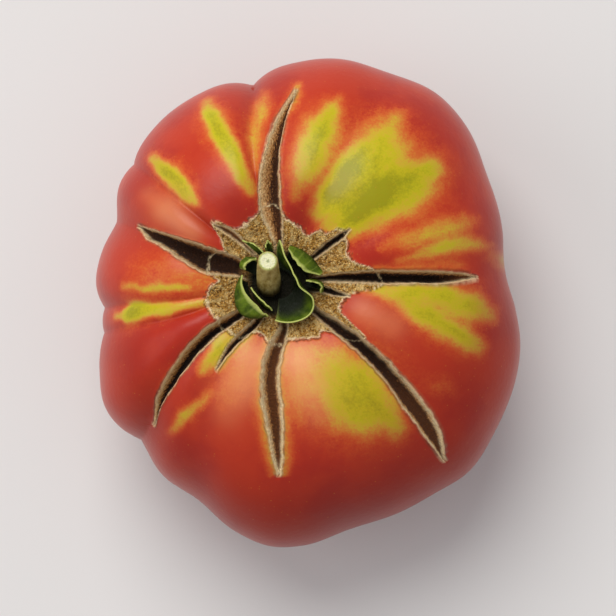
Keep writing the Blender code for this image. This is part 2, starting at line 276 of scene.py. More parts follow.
class Nodes:
    """Builds a node tree with short calls."""

    def __init__(self, tree: bpy.types.NodeTree) -> None:
        """Starts on a tree whose nodes have been cleared or kept by the caller."""
        self.tree = tree

    def add(self, kind: str, **settings: object) -> bpy.types.Node:
        """Adds a node.

        Args:
            kind: The node's type.
            settings: The node's properties, by name.

        Returns:
            The node.
        """
        node = self.tree.nodes.new(kind)
        for name, value in settings.items():
            setattr(node, name, value)
        return node

    def feed(self, socket: Socket, source: Source) -> None:
        """Links a socket to another socket, or sets its value.

        Args:
            socket: The socket to feed.
            source: A socket, a number, or a tuple; a colour's tuple has no alpha.
        """
        if isinstance(source, Socket):
            self.tree.links.new(source, socket)
        elif isinstance(source, tuple) and len(source) == 3 and socket.type == "RGBA":
            socket.default_value = (*source, 1.0)
        else:
            socket.default_value = source

    def attribute(self, name: str) -> Socket:
        """Reads a painted number."""
        return self.add("ShaderNodeAttribute", attribute_name=name).outputs["Fac"]

    def vector(self, name: str) -> Socket:
        """Reads a painted vector."""
        return self.add("ShaderNodeAttribute", attribute_name=name).outputs["Vector"]

    def position(self) -> Socket:
        """Reads the place on the piece, in metres."""
        return self.add("ShaderNodeTexCoord").outputs["Object"]

    def math(self, operation: str, a: Source, b: Source) -> Socket:
        """Works out one sum.

        Args:
            operation: Which sum.
            a: The first number.
            b: The second number.

        Returns:
            The result.
        """
        node = self.add("ShaderNodeMath", operation=operation)
        self.feed(node.inputs[0], a)
        self.feed(node.inputs[1], b)
        return node.outputs[0]

    def span(self, value: Source, low: float, high: float, out_low: float = 0.0, out_high: float = 1.0,
             smooth: bool = True) -> Socket:
        """Moves a value from one range to another, held at the ends.

        Args:
            value: The value.
            low: The old range's start.
            high: The old range's end.
            out_low: The new range's start.
            out_high: The new range's end.
            smooth: Whether the move has no corner at either end.

        Returns:
            The moved value.
        """
        node = self.add("ShaderNodeMapRange", interpolation_type="SMOOTHSTEP" if smooth else "LINEAR")
        for socket, source in zip(node.inputs, (value, low, high, out_low, out_high)):
            self.feed(socket, source)
        return node.outputs["Result"]

    def centred(self, value: Source, strength: float) -> Socket:
        """Moves a value from 0 to 1 so that it swings evenly about 0, at a strength."""
        return self.math("MULTIPLY", self.math("SUBTRACT", value, 0.5), strength)

    def scaled(self, vector: Source, scale: tuple[float, float, float]) -> Socket:
        """Stretches a vector.

        Args:
            vector: The vector.
            scale: How much it grows along each axis.

        Returns:
            The stretched vector.
        """
        node = self.add("ShaderNodeVectorMath", operation="MULTIPLY")
        self.feed(node.inputs[0], vector)
        node.inputs[1].default_value = scale
        return node.outputs[0]

    def noise(self, vector: Source, scale: Source, detail: float = 3.0, roughness: float = 0.55) -> Socket:
        """Adds cloudy noise.

        Args:
            vector: Where the noise is read.
            scale: How fine it is, per unit of the vector.
            detail: How many finer layers it has.
            roughness: How strong the finer layers are.

        Returns:
            A value from 0 to 1.
        """
        node = self.add("ShaderNodeTexNoise")
        self.feed(node.inputs["Vector"], vector)
        self.feed(node.inputs["Scale"], scale)
        node.inputs["Detail"].default_value = detail
        node.inputs["Roughness"].default_value = roughness
        return node.outputs["Fac"]

    def cells(self, vector: Source, scale: Source, feature: str = "F1") -> Socket:
        """Adds scattered cells.

        Args:
            vector: Where the cells are read.
            scale: How fine they are, per unit of the vector.
            feature: What the distance is to: F1, a cell's point, or DISTANCE_TO_EDGE.

        Returns:
            The distance to the nearest one.
        """
        node = self.add("ShaderNodeTexVoronoi", feature=feature)
        self.feed(node.inputs["Vector"], vector)
        self.feed(node.inputs["Scale"], scale)
        return node.outputs["Distance"]

    def tissue(self, vector: Source, cloud_scale: float, fleck_scale: float) -> tuple[Socket, Socket, Socket]:
        """Places the shared tissue group.

        Args:
            vector: Where the pattern is read.
            cloud_scale: How fine the clouds are, per unit of the vector.
            fleck_scale: How fine the flecks and the net of veins are.

        Returns:
            The group's clouds, flecks and veins, each from 0 to 1.
        """
        node = self.add("ShaderNodeGroup", node_tree=tissue_group())
        self.feed(node.inputs["Vector"], vector)
        node.inputs["Cloud Scale"].default_value = cloud_scale
        node.inputs["Fleck Scale"].default_value = fleck_scale
        return node.outputs["Clouds"], node.outputs["Flecks"], node.outputs["Veins"]

    def mix(self, share: Source, a: Source, b: Source) -> Socket:
        """Mixes two colours.

        Args:
            share: How much of the second colour shows, from 0 to 1.
            a: The first colour.
            b: The second colour.

        Returns:
            The mixed colour.
        """
        node = self.add("ShaderNodeMix", data_type="RGBA")
        self.feed(node.inputs[0], share)
        self.feed(node.inputs[6], a)
        self.feed(node.inputs[7], b)
        return node.outputs[2]

    def ramp(self, value: Source, stops: tuple[tuple[float, Colour], ...]) -> Socket:
        """Reads a colour between stops.

        Args:
            value: The value that picks the colour.
            stops: (place, colour) pairs in rising order of place.

        Returns:
            The colour.
        """
        node = self.add("ShaderNodeValToRGB")
        self.feed(node.inputs[0], value)
        elements = node.color_ramp.elements
        while len(elements) < len(stops):
            elements.new(1.0)
        for element, (place, colour) in zip(elements, stops):
            element.position = place
            element.color = (*colour, 1.0)
        return node.outputs["Color"]

    def bump(self, height: Source, distance_mm: float, normal: Source = None) -> Socket:
        """Turns a height into a normal.

        Args:
            height: The height, from 0 to 1.
            distance_mm: How tall a height of 1 is.
            normal: The normal to start from, or None for the surface's own.

        Returns:
            The normal.
        """
        node = self.add("ShaderNodeBump")
        node.inputs["Distance"].default_value = distance_mm * MM
        self.feed(node.inputs["Height"], height)
        if normal is not None:
            self.feed(node.inputs["Normal"], normal)
        return node.outputs["Normal"]


@functools.cache
def tissue_group() -> bpy.types.NodeTree:
    """The plant tissue that every finish shares: soft clouds, fine flecks and a net of veins.

    Returns:
        The node group, made once.
    """
    made = bpy.data.node_groups.new("plant_tissue", "ShaderNodeTree")
    made.interface.new_socket("Vector", in_out="INPUT", socket_type="NodeSocketVector")
    made.interface.new_socket("Cloud Scale", in_out="INPUT", socket_type="NodeSocketFloat")
    made.interface.new_socket("Fleck Scale", in_out="INPUT", socket_type="NodeSocketFloat")
    for name in ("Clouds", "Flecks", "Veins"):
        made.interface.new_socket(name, in_out="OUTPUT", socket_type="NodeSocketFloat")
    n = Nodes(made)
    given = n.add("NodeGroupInput").outputs
    result = n.add("NodeGroupOutput").inputs
    n.feed(result["Clouds"], n.span(n.noise(given["Vector"], given["Cloud Scale"]), 0.3, 0.7, smooth=False))
    n.feed(result["Flecks"], n.span(n.noise(given["Vector"], given["Fleck Scale"]), 0.3, 0.7, smooth=False))
    net = n.cells(given["Vector"], given["Fleck Scale"], "DISTANCE_TO_EDGE")
    n.feed(result["Veins"], n.span(net, 0.02, 0.2, 1.0, 0.0))
    return made


def new_material(name: str) -> tuple[bpy.types.Material, Nodes, bpy.types.Node]:
    """Makes an empty Principled material.

    Args:
        name: The material's name.

    Returns:
        The material, the builder for its tree, and its Principled shader.
    """
    made = bpy.data.materials.new(name)
    made.use_nodes = True
    return made, Nodes(made.node_tree), made.node_tree.nodes["Principled BSDF"]


def set_glow(shader: bpy.types.Node, weight: float, radius: Colour, depth_mm: float) -> None:
    """Lets a little light into a surface.

    Args:
        shader: The Principled shader.
        weight: How much of the light goes in.
        radius: How far each colour of it travels, as a share of the depth.
        depth_mm: How deep it goes.
    """
    shader.inputs["Subsurface Weight"].default_value = weight
    shader.inputs["Subsurface Radius"].default_value = radius
    shader.inputs["Subsurface Scale"].default_value = depth_mm * MM


RAMP_START = -0.1  # the ripeness at the start of its colour ramp
RAMP_END = 1.3  # and at its end


def ramp_place(value: float) -> float:
    """Finds where a ripeness stands on its colour ramp."""
    return (value - RAMP_START) / (RAMP_END - RAMP_START)


@dataclass(frozen=True)
class SkinFinish:
    """The fruit's finish: ripening skin, cork round the stem and dry, corky cracks."""

    red: Colour = (0.49, 0.036, 0.011)
    crimson: Colour = (0.37, 0.017, 0.010)
    # painted shade: the deeper, browner red of shaded slopes, edges and furrows
    shade_red: Colour = (0.22, 0.012, 0.005)
    scarlet: Colour = (0.56, 0.065, 0.014)
    orange: Colour = (0.60, 0.13, 0.022)
    amber: Colour = (0.60, 0.24, 0.030)
    yellow: Colour = (0.57, 0.38, 0.028)
    lime: Colour = (0.50, 0.43, 0.008)
    olive: Colour = (0.31, 0.29, 0.005)
    # pale pink of the painted highlights
    painted_highlight: Colour = (0.84, 0.36, 0.15)
    cork: Colour = (0.62, 0.31, 0.050)
    cork_pale: Colour = (0.92, 0.65, 0.26)
    cork_dark: Colour = (0.11, 0.042, 0.008)
    wall_pale: Colour = (0.84, 0.54, 0.24)
    wall: Colour = (0.52, 0.235, 0.065)
    wall_brown: Colour = (0.19, 0.058, 0.012)
    # painted shade deep in a crack's slit
    wall_shade: Colour = (0.010, 0.004, 0.002)
    lip: Colour = (0.97, 0.78, 0.46)
    outline: Colour = (0.06, 0.018, 0.006)
    # painted shade on the floor inside the calyx, over scar tissue that is dark too
    calyx_shade: Colour = (0.016, 0.016, 0.006)
    skin_roughness: float = 0.33
    dry_roughness: float = 0.5  # how much rougher the cork and the cracks are
    shine: float = 0.2
    bloom: float = 0.06
    bloom_roughness: float = 0.4
    bloom_tint: Colour = (1.0, 0.72, 0.68)

    def build(self) -> bpy.types.Material:
        """Makes the material, which reads what the fruit painted on its vertices.

        Returns:
            The material.
        """
        made, n, shader = new_material("tomato_skin")
        place = n.position()
        grain = n.vector("grain")
        clouds, flecks, net = n.tissue(place, 700.0, 2000.0)
        skin = self.skin(n, place, grain, clouds, flecks)
        colour = n.mix(n.attribute("cork"), skin, self.corky(n, grain, flecks, net))
        colour = n.mix(n.attribute("outline"), colour, self.outline)
        colour = n.mix(n.attribute("inside"), colour, self.crack_wall(n, grain, flecks))
        broken = n.span(clouds, 0.1, 0.6, 0.45, 1.0)
        colour = n.mix(n.math("MULTIPLY", n.attribute("lip"), broken), colour, self.lip)
        # painted shade inside the calyx
        colour = n.mix(n.attribute("calyx_shade"), colour, self.calyx_shade)
        n.feed(shader.inputs["Base Color"], colour)

        rough = n.math("MAXIMUM", n.attribute("cork"), n.attribute("inside"))
        rough = n.math("MAXIMUM", rough, n.attribute("lip"))
        rougher = n.math("MULTIPLY", rough, self.dry_roughness)
        n.feed(shader.inputs["Roughness"], n.math("ADD", self.skin_roughness, rougher))
        relief = n.math("MULTIPLY", n.math("SUBTRACT", flecks, n.math("MULTIPLY", net, 0.6)), rough)
        pores = n.bump(n.math("MULTIPLY", clouds, n.math("SUBTRACT", 1.0, rough)), 0.02)
        n.feed(shader.inputs["Normal"], n.bump(relief, 0.3, pores))
        shader.inputs["Specular IOR Level"].default_value = self.shine
        shader.inputs["Sheen Weight"].default_value = self.bloom
        shader.inputs["Sheen Roughness"].default_value = self.bloom_roughness
        shader.inputs["Sheen Tint"].default_value = (*self.bloom_tint, 1.0)
        set_glow(shader, 0.03, (1.0, 0.25, 0.1), 2.0)
        return made

    def skin(self, n: Nodes, place: Socket, grain: Socket, clouds: Socket, flecks: Socket) -> Socket:
        """Colours the smooth skin from red to olive, with fine streaks that run out from the stem, and paints
        highlights and shade on it.

        Args:
            n: The material's builder.
            place: The place on the piece.
            grain: The place in lines that run out from the stem.
            clouds: Soft clouds.
            flecks: Fine flecks.

        Returns:
            The skin's colour.
        """
        streaks = n.noise(n.scaled(grain, (70.0, 70.0, 0.8)), 1.0, 3.0, 0.6)
        bands = n.noise(n.scaled(grain, (16.0, 16.0, 0.25)), 1.0, 2.0, 0.5)
        wobble = n.centred(streaks, 0.15)
        for pattern, strength in ((bands, 0.26), (flecks, 0.14), (clouds, 0.10)):
            wobble = n.math("ADD", wobble, n.centred(pattern, strength))
        ripe = n.attribute("ripe")
        shown = n.math("ADD", ripe, n.math("MULTIPLY", wobble, n.span(ripe, 0.0, 0.25, 0.2, 1.0)))
        stops = (
            (-0.05, self.red), (0.06, self.red), (0.2, self.scarlet), (0.40, self.orange),
            (0.56, self.amber), (0.72, self.yellow), (0.90, self.lime), (1.15, self.olive))
        along = n.span(shown, RAMP_START, RAMP_END, smooth=False)
        skin = n.ramp(along, tuple((ramp_place(value), colour) for value, colour in stops))
        uneven = n.span(n.noise(place, 55.0, 4.0, 0.6), 0.4, 0.65)
        drift = n.math("MULTIPLY", uneven, n.span(shown, 0.05, 0.3, 0.7, 0.1))
        skin = n.mix(drift, skin, self.crimson)
        # painted highlights: pale pink patches where the skin catches the light
        skin = n.mix(n.attribute("painted_highlight"), skin, self.painted_highlight)
        # painted shade, read as "deep": deeper red on shaded slopes, towards the edge and in the furrows
        skin = n.mix(n.attribute("deep"), skin, self.shade_red)
        specks = n.span(n.cells(place, 900.0), 0.05, 0.17, 0.45, 0.0)
        return n.mix(n.math("MULTIPLY", specks, n.span(clouds, 0.35, 0.9)), skin, self.amber)

    def corky(self, n: Nodes, grain: Socket, flecks: Socket, net: Socket) -> Socket:
        """Colours the cork: tan, with pale flakes and a net of dark lines that runs out from the stem.

        Args:
            n: The material's builder.
            grain: The place in lines that run out from the stem.
            flecks: Fine flecks.
            net: A fine net of veins.

        Returns:
            The cork's colour.
        """
        lace = n.noise(n.scaled(grain, (22.0, 22.0, 1.6)), 1.0, 5.0, 0.75)
        mixed = n.math("ADD", lace, n.centred(flecks, 0.35))
        cork = n.ramp(mixed, ((0.34, self.cork_dark), (0.45, self.cork), (0.54, self.cork),
        (0.64, self.cork_pale)))
        veins = n.cells(n.scaled(grain, (26.0, 26.0, 1.5)), 1.0, "DISTANCE_TO_EDGE")
        cork = n.mix(n.span(veins, 0.0, 0.09, 0.7, 0.0), cork, self.cork_dark)
        cork = n.mix(n.math("MULTIPLY", net, 0.35), cork, self.cork_dark)
        flakes = n.span(n.noise(n.scaled(grain, (9.0, 9.0, 0.5)), 1.0, 3.0, 0.7), 0.5, 0.62, 0.0, 0.55)
        return n.mix(flakes, cork, self.cork_pale)

    def crack_wall(self, n: Nodes, grain: Socket, flecks: Socket) -> Socket:
        """Colours the inside of a crack: pale at its lips, brown and fibrous lower down, with painted shade
        darkening its slit.

        Args:
            n: The material's builder.
            grain: The place in lines that run out from the stem.
            flecks: Fine flecks.

        Returns:
            The wall's colour.
        """
        fibres = n.noise(n.scaled(grain, (95.0, 95.0, 0.9)), 1.0, 4.0, 0.7)
        uneven = n.math("ADD", n.attribute("depth"), n.centred(fibres, 1.5))
        uneven = n.math("ADD", uneven, n.centred(flecks, 0.45))
        wall = n.ramp(uneven, ((0.02, self.wall_pale), (0.4, self.wall), (0.75, self.wall_brown)))
        # painted shade, darkest low in the slit
        shade = n.math("MULTIPLY", n.span(uneven, 0.4, 0.85), n.attribute("slit_shade"))
        return n.mix(shade, wall, self.wall_shade)


@dataclass(frozen=True)
class StemFinish:
    """The stem's finish: dull olive bark with painted shade darkening its foot, and a pale, wet-looking cut
    face with a darker pith.
    """

    bark: Colour = (0.22, 0.145, 0.025)
    bark_pale: Colour = (0.50, 0.39, 0.14)
    # painted shade on the stem's foot, down in the calyx
    foot_shade: Colour = (0.035, 0.022, 0.006)
    cut: Colour = (0.82, 0.80, 0.50)
    cut_edge: Colour = (0.44, 0.46, 0.14)
    pith: Colour = (0.40, 0.43, 0.22)

    def build(self) -> bpy.types.Material:
        """Makes the material, which reads the painted shade at the foot and the cut face painted on the stem.

        Returns:
            The material.
        """
        made, n, shader = new_material("tomato_stem")
        clouds, flecks, _ = n.tissue(n.scaled(n.position(), (1.0, 1.0, 0.3)), 900.0, 2600.0)
        bark = n.mix(clouds, self.bark, self.bark_pale)
        # painted shade at the foot
        bark = n.mix(n.attribute("foot"), bark, self.foot_shade)
        grainy = n.math("ADD", n.attribute("across"), n.centred(flecks, 0.12))
        cut = n.ramp(grainy, ((0.08, self.pith), (0.26, self.cut), (0.78, self.cut), (0.97, self.cut_edge)))
        n.feed(shader.inputs["Base Color"], n.mix(n.attribute("cut"), bark, cut))
        shader.inputs["Roughness"].default_value = 0.6
        shader.inputs["Specular IOR Level"].default_value = 0.2
        n.feed(shader.inputs["Normal"], n.bump(n.math("ADD", clouds, flecks), 0.12))
        set_glow(shader, 0.1, (1.0, 0.9, 0.3), 1.0)
        return made


@dataclass(frozen=True)
class SepalFinish:
    """A sepal's finish: green blade with paler veins, painted shade darkening it towards its root, and a thin
    pale rim that is partly its own colour and partly a painted highlight.
    """

    blade: Colour = (0.12, 0.18, 0.010)
    blade_dark: Colour = (0.022, 0.045, 0.004)
    # painted shade: the near black of the blade's lower part, deep in the calyx's cup
    root: Colour = (0.006, 0.009, 0.002)
    vein: Colour = (0.22, 0.27, 0.04)
    # the rim's pale green: partly its own colour, partly a painted highlight on the curled edge
    rim: Colour = (0.46, 0.50, 0.13)

    def build(self) -> bpy.types.Material:
        """Makes the material, which reads the painted rim highlight, the veins and the painted root shade on
        the blades.

        Returns:
            The material.
        """
        made, n, shader = new_material("tomato_sepal")
        clouds, flecks, net = n.tissue(n.position(), 420.0, 1700.0)
        blade = n.mix(clouds, self.blade_dark, self.blade)
        blade = n.mix(n.math("MULTIPLY", n.attribute("vein"), 0.5), blade, self.vein)
        # painted shade towards the root
        blade = n.mix(n.attribute("root"), blade, self.root)
        # pale rim, partly a painted highlight
        blade = n.mix(n.attribute("rim"), blade, self.rim)
        n.feed(shader.inputs["Base Color"], blade)
        n.feed(shader.inputs["Roughness"], n.span(flecks, 0.0, 1.0, 0.42, 0.6))
        shader.inputs["Specular IOR Level"].default_value = 0.12
        relief = n.math("SUBTRACT", clouds, n.math("MULTIPLY", net, 0.3))
        n.feed(shader.inputs["Normal"], n.bump(relief, 0.15))
        set_glow(shader, 0.05, (0.6, 1.0, 0.2), 0.8)
        return made


@dataclass(frozen=True)
class FloorFinish:
    """The studio floor's finish: matt, nearly white, faintly warm."""

    pale: Colour = (0.735, 0.718, 0.70)
    unevenness: float = 0.98  # the brightness of the darker clouds, as a share of the paler ones

    def build(self) -> bpy.types.Material:
        """Makes the material.

        Returns:
            The material.
        """
        made, n, shader = new_material("studio_floor")
        clouds, _, _ = n.tissue(n.position(), 6.0, 400.0)
        darker = tuple(self.unevenness * c for c in self.pale)
        n.feed(shader.inputs["Base Color"], n.mix(clouds, darker, self.pale))
        shader.inputs["Roughness"].default_value = 0.85
        return made


# The fruit.


TABLE_REACH = 66.0  # how far out the ragged edges are worked out
TABLE_STEP = 0.1


class Side(Enum):
    """The two sides of a crack, as seen on the way out from the stem."""

    CLOCKWISE = -1
    COUNTER = 1


@dataclass(frozen=True)
class Crack:
    """One growth crack that runs out from the stem.

    Attributes:
        home: The crack's angle in the even layout of columns.
        spread: Half of the columns that follow it, in degrees of the even layout.
        path: Points (reach, angle, half-width, depth, strength of the painted shade on the floor from 0 to
            1).
        slit: Where the deepest line lies, from -1 at the clockwise lip to 1 at the other.
        floor: Half the flat floor's width, as a share of the half-width.
        lips: Width of the pale lip on the clockwise and on the other side.
        halo: How unripe the skin beside it is, and how far that reaches.
        seed: Picks how its edges wander.
    """

    home: float
    spread: float
    path: Rows
    slit: float
    floor: float
    lips: tuple[float, float]
    halo: tuple[float, float]
    seed: int

    def read(self, reach: Array | float) -> tuple[Array, Array, Array, Array]:
        """Reads the crack's path.

        Args:
            reach: Where to read it.

        Returns:
            The angle, half-width, depth and strength of the painted shade there.
        """
        return tuple(smooth_curve([(p[0], p[k]) for p in self.path], reach) for k in (1, 2, 3, 4))

    @functools.cache
    def edge_table(self, side: Side) -> tuple[Array, Array]:
        """Works out the ragged half-width on one side.

        Args:
            side: Which side.

        Returns:
            Reaches along the crack, and the half-width at each.
        """
        reach = np.arange(0.0, TABLE_REACH, TABLE_STEP)
        half = self.read(reach)[1]
        where = np.stack([reach, 0 * reach + 7.3 * side.value, 0 * reach], axis=-1)
        wander = 0.09 * value_noise(where * 0.7, self.seed) * half
        wander = wander + 0.10 * value_noise(where * 1.9, self.seed + 1)
        wander = wander + 0.05 * value_noise(where * 5.0, self.seed + 2)
        return reach, np.maximum(half + wander * smooth_step(0.1, 0.8, half), 0.08)

    def edge(self, reach: Array | float, side: Side) -> Array:
        """Reads the ragged half-width on one side at a reach."""
        return np.interp(reach, *self.edge_table(side))

    def span(self, reach: Array | float) -> Array:
        """Tells where the crack is.

        Args:
            reach: Where to read it.

        Returns:
            1 along its path, 0 well away from it.
        """
        first, last = self.path[0][0], self.path[-1][0]
        return smooth_step(first - 3, first, reach) * (1 - smooth_step(last, last + 1.2, reach))


CRACKS: dict[str, Crack] = {
    "east": Crack(2.8, 6, (
        (9, 6.5, 0.6, 2.0, 0.98), (12, 6, 0.9, 3.0, 0.98), (19, 4.4, 1.35, 4.0, 0.98),
        (31, 2.8, 1.35, 4.2, 0.98),
        (39.5, 2.3, 1.2, 3.4, 0.89), (43.5, 2.2, 0.7, 1.2, 0.39), (45.2, 2.1, 0.3, 0.4, 0.2)),
        -0.1, 0.45, (0.42, 0.2), (0.22, 0.9), 11),
    "small_north_east": Crack(37.6, 3.5, (
        (9.5, 38, 0.6, 1.4, 0.99), (14.4, 38, 0.8, 2.2, 0.99), (17.5, 37.6, 0.75, 1.8, 0.99),
        (19.3, 37.6, 0.3, 0.4, 0.59)),
        0.0, 0.55, (0.3, 0.25), (0.5, 0.8), 23),
    "north": Crack(94, 6, (
        (9.5, 92, 1.0, 1.6, 0.58), (13.6, 95.5, 1.9, 2.6, 0.65), (17, 96.7, 2.4, 3.4, 0.72),
        (23.3, 96, 2.2, 3.6, 0.72),
        (29.5, 94, 1.85, 3.0, 0.72), (34.8, 91.5, 1.4, 2.4, 0.65), (39, 89.2, 0.9, 1.6, 0.58),
        (44.5, 85.5, 0.35, 0.5, 0.36)),
        -0.5, 0.14, (0.3, 0.34), (0.34, 1.2), 37),
    "small_north_west": Crack(133.4, 3.5, (
        (10, 131.5, 0.4, 0.8, 0.09), (14.5, 133.4, 0.75, 1.4, 0.12), (17.2, 135.5, 0.85, 1.4, 0.12),
        (19.6, 138.2, 0.3, 0.4, 0.06)),
        0.2, 0.2, (0.35, 0.35), (0.5, 0.6), 41),
    "west": Crack(160, 6, (
        (9.5, 159.5, 1.8, 2.6, 0.88), (12, 160.5, 2.5, 3.6, 0.88), (15.3, 161.8, 2.85, 4.2, 0.88),
        (22, 161, 2.3, 4.0, 0.88), (29, 159.7, 1.6, 3.0, 0.88), (33.8, 159.4, 1.0, 1.8, 0.78),
        (36.2, 158.3, 0.35, 0.5, 0.49)),
        0.1, 0.6, (0.25, 0.25), (0.25, 0.8), 53),
    "south_west": Crack(217, 6, (
        (9.5, 217.5, 0.9, 2.0, 0.98), (12.5, 216.9, 1.2, 3.0, 0.98), (17.5, 215.5, 1.4, 3.8, 0.98),
        (23, 216.7, 1.6, 4.0, 0.98), (28.5, 219, 1.5, 3.8, 0.98), (34.7, 221.9, 1.35, 3.2, 0.98),
        (39.7, 224.2, 0.95, 2.2, 0.98), (44.5, 228.0, 0.3, 0.5, 0.78)),
        0.3, 0.3, (0.25, 0.3), (0.25, 0.7), 67),
    "small_south_west": Crack(234.5, 3.5, (
        (9.8, 240, 0.9, 1.8, 0.96), (12.5, 236.5, 0.95, 2.2, 0.96), (15, 233.7, 0.85, 2.2, 0.96),
        (19.5, 232.6, 0.55, 1.4, 0.86), (23.6, 233.6, 0.25, 0.3, 0.58)),
        0.1, 0.3, (0.3, 0.2), (0.7, 1.4), 71),
    "south": Crack(266.5, 6, (
        (9.8, 276, 0.9, 2.0, 0.51), (13.5, 268, 1.75, 2.6, 0.45), (16.7, 264.9, 1.9, 2.4, 0.42),
        (21.4, 264.2, 1.95, 2.2, 0.38), (29, 266.9, 2.2, 2.0, 0.38), (35.7, 268.7, 1.6, 1.6, 0.38),
        (40, 269.4, 1.15, 1.0, 0.3), (43.2, 269.8, 0.4, 0.4, 0.11)),
        0.1, 0.3, (0.5, 0.5), (0.6, 2.2), 83),
    "south_east": Crack(319.5, 6, (
        (10, 322, 0.8, 2.0, 0.91), (16.4, 322.9, 1.4, 3.4, 0.91), (25.5, 322.3, 1.6, 3.8, 0.91),
        (35.8, 319.5, 2.0, 3.0, 0.73), (41, 317.8, 2.3, 2.4, 0.59), (46.7, 316.4, 2.2, 1.9, 0.55),
        (51.5, 314.8, 1.4, 1.2, 0.46), (55, 313, 0.4, 0.4, 0.28)),
        0.0, 0.5, (0.3, 0.5), (0.22, 0.8), 97),
    "small_east": Crack(350, 3.5, (
        (9, 353, 0.9, 1.8, 0.99), (12.4, 350.3, 0.75, 1.6, 0.99), (15.4, 349.8, 0.3, 0.3, 0.79)),
        0.0, 0.6, (0.25, 0.25), (0.2, 0.6), 103),
}


@dataclass(frozen=True)
class Furrow:
    """A furrow between two lobes.

    Attributes:
        shoulder: Its angle on the shoulder.
        equator: Its angle at the equator and below.
        shoulder_depth: Its depth on the shoulder.
        equator_depth: Its depth at the equator.
        width: Its half-width in degrees.
        crease: The share of its depth that is a sharp crease.
    """

    shoulder: float
    equator: float
    shoulder_depth: float
    equator_depth: float
    width: float
    crease: float

    def angle(self, share: Array | float) -> Array:
        """Reads its angle where share is 0 at the stem, 1 at the equator and 2 at the blossom end."""
        return self.shoulder + (self.equator - self.shoulder) * smooth_step(0.45, 1.0, share)


FRINGE = 0.4  # how much of a streak's strength is its wide, faint fringe
FRINGE_WIDTH = 2.1  # how wide that is, in half-widths
UNION = 3.0  # how sharply streaks that meet merge; a high number keeps the stronger one


@dataclass(frozen=True)
class Streak:
    """A soft-edged streak of colour on the skin.

    Attributes:
        points: Points (angle, reach, half-width, value) along it.
        softness: How wide its edge is, as a share of its half-width.
    """

    points: Rows
    softness: float = 1.1

    def field(self, where: Array) -> Array:
        """Works out how strongly it shows.

        Args:
            where: Plan positions from the stem's axis.

        Returns:
            Its strength at each of them.
        """
        best = np.zeros(where.shape[:-1])
        spots = [(plan(p[0], p[1]), p[2], p[3]) for p in self.points]
        for (a, half_a, value_a), (b, half_b, value_b) in zip(spots, spots[1:]):
            run = b - a
            t = np.clip(((where - a) @ run) / max(float(run @ run), 1e-9), 0, 1)
            off = np.linalg.norm(where - a - t[..., None] * run, axis=-1) / (half_a + (half_b - half_a) * t)
            value = value_a + (value_b - value_a) * t
            core = 1 - smooth_step(1 - self.softness, 1 + self.softness, off)
            best = np.maximum(best, value * ((1 - FRINGE) * core + FRINGE * bell(off / FRINGE_WIDTH)))
        return best


